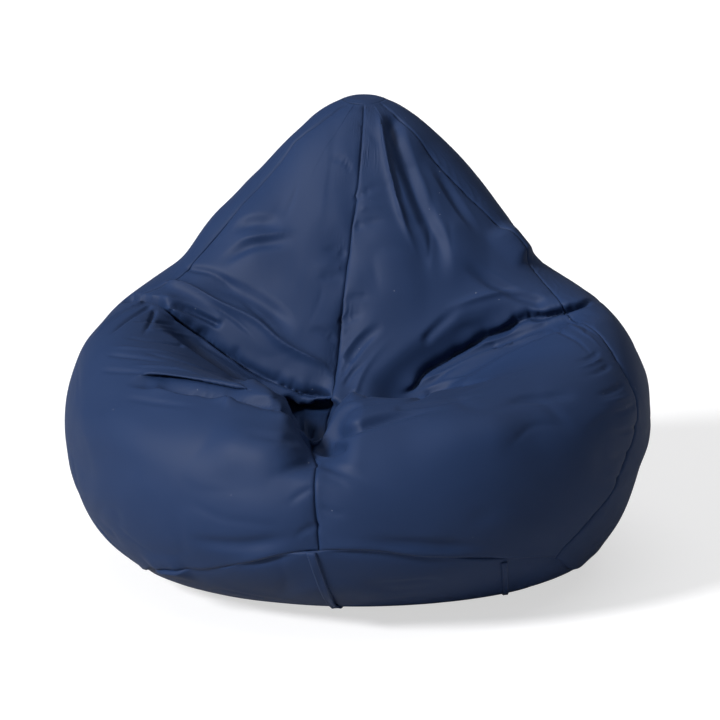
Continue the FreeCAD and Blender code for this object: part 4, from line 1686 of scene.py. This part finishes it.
FOLDS: tuple[tuple[Fold, ...], ...] = (
    # The broad valleys between the back and the arms, and the notch in the front roll
    (
        # Left valley
        Fold(((-0.322, 0.414), (-0.267, 0.380), (-0.193, 0.328), (-0.103, 0.278), (-0.043, 0.257)),
             -0.036, 0.062, Shape.TROUGH, fade_in=0.2, fade_out=0.15),
        # Right valley
        Fold(((0.371, 0.417), (0.280, 0.386), (0.179, 0.349), (0.102, 0.300), (0.055, 0.263)),
             -0.032, 0.06, Shape.TROUGH, fade_in=0.2, fade_out=0.15),
        # Notch in the front roll
        Fold(((-0.057, 0.260), (-0.060, 0.214), (-0.066, 0.167), (-0.066, 0.129)),
             -0.036, 0.06, Shape.TROUGH, fade_in=0.1, fade_out=0.4),
        Fold(((-0.245, 0.198), (-0.168, 0.183), (-0.091, 0.152)),
             0.012, 0.06, Shape.TROUGH, fade_in=0.4, fade_out=0.4),
        Fold(((0.063, 0.198), (0.171, 0.211), (0.279, 0.214)),
             0.01, 0.07, Shape.TROUGH, fade_in=0.4, fade_out=0.4),
        # Left half of the back
        Fold(((-0.156, 0.599), (-0.168, 0.522), (-0.149, 0.429)),
             0.01, 0.07, Shape.TROUGH, fade_in=0.4, fade_out=0.4),
        # Right half of the back
        Fold(((0.109, 0.568), (0.148, 0.499), (0.140, 0.429)),
             0.01, 0.06, Shape.TROUGH, fade_in=0.4, fade_out=0.4),
    ),
    # The deep seat hollow and the notch in the front roll, drawn from above
    (
        Fold(((-0.200, 0.275), (-0.110, 0.245), (-0.040, 0.225), (0.040, 0.235), (0.140, 0.265)),
             -0.034, 0.072, Shape.TROUGH, fade_in=0.4, fade_out=0.4, viewer=ABOVE, way=DOWNWARD),
        Fold(((-0.130, 0.245), (-0.060, 0.205), (0.010, 0.205)),
             -0.036, 0.052, Shape.TROUGH, fade_in=0.3, fade_out=0.4, viewer=ABOVE, way=DOWNWARD),
        Fold(((-0.067, -0.045), (-0.066, 0.030), (-0.063, 0.100), (-0.056, 0.190)),
             -0.038, 0.072, Shape.TROUGH, fade_in=0.35, fade_out=0.15, other_reach=0.06,
             viewer=ABOVE, way=DOWNWARD),
        Fold(((-0.064, 0.020), (-0.063, 0.100), (-0.056, 0.180)),
             -0.016, 0.034, Shape.TROUGH, fade_in=0.3, fade_out=0.1, other_reach=0.03,
             viewer=ABOVE, way=DOWNWARD),
        # Bulge of the right shoulder
        Fold(((0.213, 0.534), (0.237, 0.505), (0.268, 0.472)),
             0.014, 0.048, Shape.TROUGH, fade_in=0.3, fade_out=0.3),
        Fold(((-0.322, 0.004), (-0.260, -0.005)),
             0.008, 0.04, Shape.TROUGH, fade_in=0.3, fade_out=0.3),
    ),
    # The pit behind the notch
    (
        Fold(((-0.170, 0.215), (-0.065, 0.165), (0.020, 0.175), (0.110, 0.205)),
             -0.1, 0.06, Shape.TROUGH, fade_in=0.3, fade_out=0.35, viewer=ABOVE, way=DOWNWARD),
    ),
    # The slot under the back
    (
        Fold(((-0.211, 0.278), (-0.149, 0.257), (-0.091, 0.238), (-0.039, 0.235), (-0.005, 0.251)),
             0.07, 0.034, Shape.TROUGH, fade_in=0.3, fade_out=0.3, way=BACKWARD),
        Fold(((-0.356, 0.295), (-0.322, 0.292), (-0.273, 0.288), (-0.206, 0.277), (-0.156, 0.266)),
             0.042, 0.015, Shape.TROUGH, fade_in=0.3, fade_out=0.2, way=BACKWARD),
    ),
    # Sharp creases
    (
        # Crease over the left arm
        Fold(((-0.351, 0.419), (-0.316, 0.417), (-0.267, 0.383), (-0.237, 0.362), (-0.193, 0.331),
              (-0.151, 0.305), (-0.103, 0.283), (-0.065, 0.268), (-0.043, 0.260)),
             -0.04, 0.014, Shape.CREASE, fade_in=0.08, fade_out=0.05, other_reach=0.011),
        # Top edge of the left front roll
        Fold(((-0.365, 0.289), (-0.290, 0.281), (-0.214, 0.269), (-0.151, 0.257), (-0.116, 0.241),
              (-0.091, 0.220), (-0.069, 0.198)),
             -0.046, 0.015, Shape.CREASE, fade_in=0.12, fade_out=0.05, other_reach=0.009),
        # Crease over the right arm
        Fold(((0.060, 0.266), (0.079, 0.281), (0.086, 0.297), (0.123, 0.323), (0.159, 0.342),
              (0.179, 0.357), (0.217, 0.372), (0.256, 0.394), (0.280, 0.394), (0.302, 0.400),
              (0.351, 0.411), (0.371, 0.419)),
             -0.028, 0.01, Shape.CREASE, fade_in=0.2, fade_out=0.12),
        # Pocket fold on the left arm
        Fold(((-0.322, 0.419), (-0.267, 0.405), (-0.237, 0.389), (-0.211, 0.374)),
             -0.016, 0.013, Shape.CREASE, fade_in=0.2, fade_out=0.12, other_reach=0.011),
        # Top edge of the right front roll
        Fold(((-0.045, 0.201), (-0.011, 0.217), (0.029, 0.231), (0.082, 0.243), (0.143, 0.251)),
             -0.024, 0.02, Shape.CREASE, fade_in=0.05, fade_out=0.5, other_reach=0.012),
    ),
    # Laps
    (
        Fold(((-0.316, 0.414), (-0.267, 0.380), (-0.237, 0.358), (-0.193, 0.328), (-0.151, 0.301),
              (-0.103, 0.280), (-0.065, 0.264)),
             0.02, 0.034, Shape.LAP, fade_in=0.1, fade_out=0.1, other_reach=0.018, lean=0.014),
        Fold(((-0.069, 0.195), (-0.091, 0.217), (-0.116, 0.238), (-0.151, 0.254), (-0.214, 0.264),
              (-0.290, 0.277), (-0.350, 0.284)),
             0.014, 0.03, Shape.LAP, fade_in=0.1, fade_out=0.12, other_reach=0.014, lean=0.006),
        Fold(((0.060, 0.266), (0.086, 0.297), (0.123, 0.323), (0.179, 0.357), (0.256, 0.391),
              (0.302, 0.400), (0.362, 0.417)),
             0.01, 0.032, Shape.LAP, fade_in=0.1, fade_out=0.2, other_reach=0.018, lean=0.011),
        Fold(((-0.314, 0.420), (-0.267, 0.408), (-0.237, 0.392), (-0.211, 0.377)),
             0.006, 0.022, Shape.LAP, fade_in=0.2, fade_out=0.1, other_reach=0.012, lean=0.004),
        Fold(((0.160, 0.338), (0.197, 0.348), (0.236, 0.363), (0.273, 0.377), (0.297, 0.395)),
             0.006, 0.02, Shape.LAP, fade_in=0.2, fade_out=0.2, other_reach=0.012, lean=0.003),
    ),
    # Soft ridges and valleys
    (
        # Arm swelling below its crease
        Fold(((-0.299, 0.374), (-0.237, 0.328), (-0.171, 0.284), (-0.116, 0.260)),
             0.0104, 0.026, Shape.TROUGH, fade_in=0.3, fade_out=0.3),
        # Arm swelling below its crease
        Fold(((0.102, 0.272), (0.171, 0.312), (0.248, 0.346), (0.325, 0.374)),
             0.0091, 0.026, Shape.TROUGH, fade_in=0.2, fade_out=0.3),
        # Ridge down to the hollow
        Fold(((-0.308, 0.445), (-0.267, 0.434), (-0.219, 0.409), (-0.159, 0.380), (-0.122, 0.349),
              (-0.065, 0.320), (-0.039, 0.309)),
             0.0117, 0.02, Shape.CREASE, fade_in=0.15, fade_out=0.15),
        Fold(((-0.253, 0.449), (-0.185, 0.426), (-0.140, 0.400), (-0.097, 0.362)),
             -0.0091, 0.02, Shape.TROUGH, fade_in=0.3, fade_out=0.3),
        Fold(((-0.276, 0.466), (-0.230, 0.457), (-0.183, 0.429)),
             -0.0065, 0.014, Shape.CREASE, fade_in=0.3, fade_out=0.3),
        Fold(((-0.202, 0.525), (-0.160, 0.534), (-0.116, 0.528)),
             -0.0078, 0.018, Shape.TROUGH, fade_in=0.4, fade_out=0.4),
        Fold(((-0.219, 0.468), (-0.177, 0.496), (-0.099, 0.505)),
             -0.0078, 0.016, Shape.TROUGH, fade_in=0.4, fade_out=0.4),
        Fold(((-0.196, 0.506), (-0.149, 0.513), (-0.091, 0.519)),
             0.0065, 0.012, Shape.CREASE, fade_in=0.4, fade_out=0.4),
        # Valley on the right of the back
        Fold(((0.051, 0.704), (0.057, 0.664), (0.069, 0.630), (0.091, 0.568), (0.119, 0.505),
              (0.131, 0.437)),
             -0.0104, 0.02, Shape.TROUGH, fade_in=0.1, fade_out=0.3),
        Fold(((0.029, 0.710), (0.035, 0.660), (0.048, 0.599), (0.066, 0.537), (0.094, 0.472)),
             0.0078, 0.016, Shape.CREASE, fade_in=0.2, fade_out=0.4),
        Fold(((0.109, 0.630), (0.148, 0.568), (0.186, 0.514)),
             -0.0052, 0.014, Shape.TROUGH, fade_in=0.4, fade_out=0.4),
        Fold(((0.156, 0.472), (0.202, 0.442), (0.248, 0.420), (0.291, 0.408)),
             -0.0078, 0.016, Shape.TROUGH, fade_in=0.4, fade_out=0.15),
        Fold(((0.125, 0.399), (0.171, 0.414), (0.225, 0.426), (0.271, 0.426)),
             0.0065, 0.014, Shape.CREASE, fade_in=0.4, fade_out=0.3),
        Fold(((-0.011, 0.263), (0.005, 0.303), (0.029, 0.337), (0.066, 0.368)),
             0.0065, 0.014, Shape.CREASE, fade_in=0.1, fade_out=0.5),
        Fold(((-0.020, 0.321), (0.005, 0.352), (0.039, 0.380)),
             -0.0065, 0.012, Shape.TROUGH, fade_in=0.1, fade_out=0.5),
        Fold(((0.094, 0.345), (0.122, 0.375), (0.159, 0.405)),
             -0.0052, 0.012, Shape.TROUGH, fade_in=0.2, fade_out=0.5),
        # Dent beside the top of the front seam
        Fold(((-0.063, 0.190), (-0.042, 0.186), (-0.017, 0.190)),
             -0.0156, 0.013, Shape.TROUGH, fade_in=0.2, fade_out=0.3),
        Fold(((0.217, 0.258), (0.273, 0.264), (0.341, 0.271)),
             -0.0052, 0.016, Shape.TROUGH, fade_in=0.4, fade_out=0.4),
        Fold(((0.060, 0.254), (0.125, 0.278), (0.217, 0.298), (0.291, 0.318)),
             -0.0078, 0.014, Shape.CREASE, fade_in=0.1, fade_out=0.5),
        Fold(((0.051, 0.248), (0.119, 0.257), (0.205, 0.272)),
             -0.0065, 0.011, Shape.CREASE, fade_in=0.1, fade_out=0.5),
        Fold(((0.091, 0.288), (0.159, 0.312), (0.227, 0.337), (0.291, 0.362)),
             0.0052, 0.012, Shape.CREASE, fade_in=0.1, fade_out=0.5),
        Fold(((-0.066, 0.170), (-0.109, 0.152), (-0.149, 0.137)),
             -0.0052, 0.012, Shape.TROUGH, fade_in=0.1, fade_out=0.6),
        Fold(((-0.063, 0.164), (-0.017, 0.146), (0.029, 0.130)),
             -0.0052, 0.012, Shape.TROUGH, fade_in=0.1, fade_out=0.6),
        Fold(((-0.091, 0.198), (-0.137, 0.204), (-0.190, 0.214)),
             -0.0039, 0.012, Shape.TROUGH, fade_in=0.1, fade_out=0.6),
        Fold(((-0.276, 0.044), (-0.183, 0.036), (-0.091, 0.052)),
             -0.0052, 0.016, Shape.TROUGH, fade_in=0.4, fade_out=0.4),
        Fold(((-0.022, 0.044), (0.094, 0.035), (0.217, 0.032)),
             -0.0052, 0.014, Shape.TROUGH, fade_in=0.4, fade_out=0.4),
        # Notch on the left outline
        Fold(((-0.371, 0.426), (-0.347, 0.417), (-0.322, 0.415)),
             -0.013, 0.016, Shape.TROUGH, fade_in=0.1, fade_out=0.2),
        # Pleat over the left shoulder
        Fold(((-0.327, 0.414), (-0.351, 0.403), (-0.373, 0.391), (-0.398, 0.368), (-0.411, 0.351)),
             0.0065, 0.009, Shape.CREASE, fade_in=0.2, fade_out=0.3),
        Fold(((-0.319, 0.408), (-0.341, 0.395), (-0.362, 0.380), (-0.387, 0.355)),
             -0.0065, 0.008, Shape.CREASE, fade_in=0.1, fade_out=0.3),
        Fold(((-0.314, 0.402), (-0.322, 0.383), (-0.337, 0.355)),
             -0.0052, 0.008, Shape.CREASE, fade_in=0.1, fade_out=0.5),
    ),
    # Fine wrinkles
    (
        Fold(((-0.307, 0.395), (-0.267, 0.374), (-0.223, 0.345)),
             -0.00416, 0.008, Shape.CREASE, fade_out=0.5),
        Fold(((-0.356, 0.380), (-0.314, 0.380), (-0.273, 0.374)),
             -0.00416, 0.008, Shape.CREASE, fade_out=0.5),
        Fold(((-0.371, 0.355), (-0.307, 0.349), (-0.237, 0.338)),
             -0.00416, 0.008, Shape.CREASE, fade_out=0.5),
        Fold(((-0.393, 0.328), (-0.337, 0.325), (-0.282, 0.315)),
             -0.00416, 0.008, Shape.CREASE, fade_out=0.5),
        Fold(((-0.402, 0.306), (-0.353, 0.305), (-0.299, 0.303)),
             -0.00416, 0.008, Shape.CREASE, fade_out=0.5),
        Fold(((-0.337, 0.334), (-0.276, 0.321), (-0.206, 0.300)),
             -0.00416, 0.008, Shape.CREASE, fade_out=0.5),
        Fold(((-0.260, 0.358), (-0.222, 0.334), (-0.171, 0.303)),
             -0.00416, 0.008, Shape.CREASE, fade_out=0.5),
        Fold(((-0.368, 0.266), (-0.307, 0.257), (-0.237, 0.248)),
             -0.00416, 0.008, Shape.CREASE, fade_out=0.5),
        Fold(((0.371, 0.337), (0.356, 0.328), (0.328, 0.321)),
             -0.00416, 0.008, Shape.CREASE, fade_out=0.5),
        Fold(((0.390, 0.318), (0.371, 0.306), (0.341, 0.297)),
             -0.00416, 0.008, Shape.CREASE, fade_out=0.5),
        Fold(((0.411, 0.288), (0.390, 0.275), (0.359, 0.266)),
             -0.00416, 0.008, Shape.CREASE, fade_out=0.5),
        Fold(((0.430, 0.254), (0.408, 0.244), (0.378, 0.238)),
             -0.00416, 0.008, Shape.CREASE, fade_out=0.5),
        Fold(((0.435, 0.223), (0.415, 0.214), (0.384, 0.207)),
             -0.00416, 0.008, Shape.CREASE, fade_out=0.5),
        Fold(((0.427, 0.180), (0.405, 0.174), (0.378, 0.170)),
             -0.00416, 0.008, Shape.CREASE, fade_out=0.5),
        Fold(((0.415, 0.144), (0.396, 0.137), (0.371, 0.137)),
             -0.00416, 0.008, Shape.CREASE, fade_out=0.5),
        Fold(((0.310, 0.386), (0.348, 0.371), (0.378, 0.349)),
             -0.00416, 0.008, Shape.CREASE, fade_out=0.5),
        Fold(((0.287, 0.374), (0.333, 0.352), (0.368, 0.321)),
             -0.00416, 0.008, Shape.CREASE, fade_out=0.5),
        Fold(((0.171, 0.345), (0.217, 0.345), (0.264, 0.352)),
             -0.00416, 0.008, Shape.CREASE, fade_out=0.5),
        Fold(((-0.026, 0.278), (-0.011, 0.303), (0.011, 0.321)),
             -0.00416, 0.008, Shape.CREASE, fade_out=0.5),
        Fold(((-0.029, 0.297), (-0.014, 0.325), (0.005, 0.343)),
             -0.00416, 0.008, Shape.CREASE, fade_out=0.5),
        Fold(((-0.022, 0.244), (0.020, 0.257), (0.057, 0.260)),
             -0.00416, 0.008, Shape.CREASE, fade_out=0.5),
        Fold(((-0.045, 0.244), (-0.022, 0.257), (0.020, 0.266)),
             -0.00416, 0.008, Shape.CREASE, fade_out=0.5),
        Fold(((-0.063, 0.146), (-0.039, 0.137), (-0.011, 0.121)),
             -0.00416, 0.008, Shape.CREASE, fade_out=0.5),
        Fold(((-0.066, 0.127), (-0.091, 0.115), (-0.116, 0.096)),
             -0.00416, 0.008, Shape.CREASE, fade_out=0.5),
        Fold(((-0.063, 0.098), (-0.042, 0.087), (-0.014, 0.081)),
             -0.00416, 0.008, Shape.CREASE, fade_out=0.5),
        Fold(((-0.060, 0.067), (-0.082, 0.060), (-0.106, 0.044)),
             -0.00416, 0.008, Shape.CREASE, fade_out=0.5),
        Fold(((-0.014, 0.568), (0.008, 0.580), (0.032, 0.587)),
             -0.00416, 0.008, Shape.CREASE, fade_out=0.5),
        Fold(((-0.014, 0.525), (0.011, 0.534), (0.042, 0.537)),
             -0.00416, 0.008, Shape.CREASE, fade_out=0.5),
        Fold(((-0.018, 0.482), (-0.039, 0.491), (-0.063, 0.491)),
             -0.00416, 0.008, Shape.CREASE, fade_out=0.5),
        Fold(((-0.023, 0.445), (-0.045, 0.451), (-0.072, 0.448)),
             -0.00416, 0.008, Shape.CREASE, fade_out=0.5),
        Fold(((-0.011, 0.614), (-0.029, 0.630), (-0.051, 0.633)),
             -0.00416, 0.008, Shape.CREASE, fade_out=0.5),
        Fold(((-0.026, 0.414), (-0.002, 0.420), (0.026, 0.414)),
             -0.00416, 0.008, Shape.CREASE, fade_out=0.5),
        Fold(((-0.035, 0.380), (-0.014, 0.389), (0.011, 0.395)),
             -0.00416, 0.008, Shape.CREASE, fade_out=0.5),
        Fold(((-0.035, 0.352), (-0.057, 0.365), (-0.082, 0.368)),
             -0.00416, 0.008, Shape.CREASE, fade_out=0.5),
        Fold(((-0.237, 0.414), (-0.196, 0.386), (-0.149, 0.343)),
             -0.00416, 0.008, Shape.CREASE, fade_out=0.5),
        Fold(((-0.183, 0.414), (-0.149, 0.386), (-0.112, 0.346)),
             -0.00416, 0.008, Shape.CREASE, fade_out=0.5),
        Fold(((-0.347, 0.368), (-0.291, 0.365), (-0.236, 0.352)),
             0.00352, 0.007, Shape.CREASE, fade_out=0.5),
        Fold(((-0.387, 0.340), (-0.322, 0.337), (-0.251, 0.326)),
             0.00352, 0.007, Shape.CREASE, fade_out=0.5),
        Fold(((-0.353, 0.315), (-0.284, 0.309), (-0.222, 0.294)),
             0.00352, 0.007, Shape.CREASE, fade_out=0.5),
        Fold(((0.378, 0.328), (0.356, 0.317), (0.325, 0.309)),
             0.00352, 0.007, Shape.CREASE, fade_out=0.5),
        Fold(((0.424, 0.269), (0.396, 0.260), (0.365, 0.254)),
             0.00352, 0.007, Shape.CREASE, fade_out=0.5),
        Fold(((0.319, 0.377), (0.356, 0.355), (0.381, 0.334)),
             0.00352, 0.007, Shape.CREASE, fade_out=0.5),
        Fold(((-0.011, 0.550), (0.017, 0.559), (0.051, 0.559)),
             0.00352, 0.007, Shape.CREASE, fade_out=0.5),
        Fold(((-0.020, 0.463), (-0.045, 0.469), (-0.076, 0.466)),
             0.00352, 0.007, Shape.CREASE, fade_out=0.5),
        Fold(((0.079, 0.268), (0.134, 0.288), (0.196, 0.303)),
             0.00352, 0.007, Shape.CREASE, fade_out=0.5),
    ),
)


# --- Studio --------------------------------------------------------------------------------


@dataclass(frozen=True)
class Studio:
    """Pale floor, soft lights and the camera."""

    view_width: float = 1.10952
    view_shift: float = -0.0347222
    sensor_mm: float = 36.0
    floor_half: float = 12.0
    floor_level: float = -0.0004
    room_light: float = 0.14
    floor_glow: float = 0.60

    def floor(self) -> None:
        """Large flat pale floor, just under the bag."""
        mesh = bpy.data.meshes.new("floor")
        half = self.floor_half
        corners = [(x * half, y * half, self.floor_level) for x, y in ((-1, -1), (1, -1), (1, 1), (-1, 1))]
        mesh.from_pydata(corners, [], [(0, 1, 2, 3)])
        floor = bpy.data.objects.new("floor", mesh)
        bpy.context.scene.collection.objects.link(floor)
        paint = bpy.data.materials.new("pale_floor")
        paint.use_nodes = True
        shader = paint.node_tree.nodes["Principled BSDF"]
        shader.inputs["Base Color"].default_value = (0.50, 0.50, 0.51, 1)
        shader.inputs["Roughness"].default_value = 0.7
        shader.inputs["Specular IOR Level"].default_value = 0.2
        shader.inputs["Emission Color"].default_value = (1, 1, 1, 1)
        tree = paint.node_tree
        seen = tree.nodes.new("ShaderNodeLightPath")
        glow = add_math(tree, "MULTIPLY", seen.outputs["Is Camera Ray"], self.floor_glow)
        tree.links.new(glow, shader.inputs["Emission Strength"])
        mesh.materials.append(paint)

    def light(self, name: str, place: tuple[float, float, float], aim: tuple[float, float, float],
              size: float, watts: float) -> None:
        """Soft square light.

        Args:
            name: The light's name.
            place: Where it hangs.
            aim: The point that it faces.
            size: Its side in metres.
            watts: Its power.
        """
        lamp = bpy.data.lights.new(name, "AREA")
        lamp.size = size
        lamp.energy = watts
        holder = bpy.data.objects.new(name, lamp)
        holder.location = place
        direction = Vector(aim) - Vector(place)
        holder.rotation_euler = direction.to_track_quat("-Z", "Y").to_euler()
        bpy.context.scene.collection.objects.link(holder)

    def far_light(self, name: str, source: tuple[float, float, float], strength: float,
                  spread: float) -> None:
        """Soft light from far away that reaches the whole floor evenly.

        Args:
            name: The light's name.
            source: Direction that it comes from.
            strength: Its strength.
            spread: Its apparent width in degrees.
        """
        lamp = bpy.data.lights.new(name, "SUN")
        lamp.energy = strength
        lamp.angle = math.radians(spread)
        holder = bpy.data.objects.new(name, lamp)
        holder.rotation_euler = (-Vector(source)).to_track_quat("-Z", "Y").to_euler()
        bpy.context.scene.collection.objects.link(holder)

    def build(self) -> None:
        """Set up the floor, the lights, the pale surroundings and the camera."""
        scene = bpy.context.scene
        scene.view_settings.view_transform = "Standard"
        world = bpy.data.worlds.new("pale_room")
        scene.world = world
        world.use_nodes = True
        world.node_tree.nodes["Background"].inputs["Color"].default_value = (1, 1, 1, 1)
        tree = world.node_tree
        seen = tree.nodes.new("ShaderNodeLightPath")
        strength = tree.nodes.new("ShaderNodeMapRange")
        strength.inputs["To Min"].default_value = self.room_light
        strength.inputs["To Max"].default_value = 1.0
        tree.links.new(seen.outputs["Is Camera Ray"], strength.inputs["Value"])
        tree.links.new(strength.outputs["Result"], tree.nodes["Background"].inputs["Strength"])
        self.floor()
        self.far_light("key", (-0.72, -0.50, 0.52), 4.4, 14)
        self.far_light("sky", (0.1, 0.0, 1.0), 0.9, 60)
        self.light("front", (0.2, -3.6, 0.8), (0, 0, 0.2), 2.0, 6)
        viewer = FRONT
        eye = viewer.eye()
        back, _, _ = viewer.frame()
        camera_data = bpy.data.cameras.new("camera")
        camera_data.lens = self.sensor_mm * viewer.distance / self.view_width
        camera_data.sensor_width = self.sensor_mm
        camera_data.clip_end = 60
        camera_data.shift_y = self.view_shift
        camera = bpy.data.objects.new("camera", camera_data)
        camera.location = tuple(eye)
        camera.rotation_euler = Vector(tuple(-back)).to_track_quat("-Z", "Y").to_euler()
        scene.collection.objects.link(camera)
        scene.camera = camera


# --- Making it -----------------------------------------------------------------------------


def main() -> None:
    """Build, dress and report every piece."""
    logging.basicConfig(level=logging.INFO, format="%(name)s: %(message)s")
    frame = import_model()
    Studio().build()
    effects = Effects()
    cover = Cover()
    cover.form()
    cloth = COVER_CLOTH.material(effects)
    base_cloth, threads = Base().build(cover.base_sheet())
    for piece in cover.pieces() + base_cloth:
        piece.data.materials.append(cloth)
        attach(piece, BAG_BODY)
        LOG.info("%s: %d faces", piece.name, len(piece.data.polygons))
    inside = Inside(cover.grid)
    liner = inside.skin("inner_liner", 0.006, 0.0095)
    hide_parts(*[name for name in frame["nodes"] if name.startswith("liner_") and "zip" not in name])
    beads = inside.skin("bead_filling", 0.012, 0.013)
    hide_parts("bead_fill")
    for piece, slot, material in ((liner, "liner_fabric", LINER_CLOTH.material(effects)),
                                  (beads, "eps_beads", bead_material())):
        piece.data.materials.append(material)
        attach(piece, BAG_BODY)
        LOG.info("%s: %d faces", piece.name, len(piece.data.polygons))
    thread = THREAD.material(effects)
    for piece in threads:
        piece.data.materials.append(thread)
        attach(piece, BAG_BODY)
        LOG.info("%s: %d faces", piece.name, len(piece.data.polygons))
    tape_cloth = TAPE_CLOTH.material(effects)
    nylon = NYLON.material(effects)
    metal = ZIP_METAL.material(effects)
    for prefix in ("cover", "liner"):
        for piece in ZipDress(prefix).build(tape_cloth, nylon):
            LOG.info("%s: %d faces", piece.name, len(piece.data.polygons))
        for part in ("stop_front", "stop_back", "slider"):
            for holder in frame["nodes"][f"{prefix}_zip_{part}"].material_slots:
                holder.material = metal


if __name__ == "__main__":
    main()
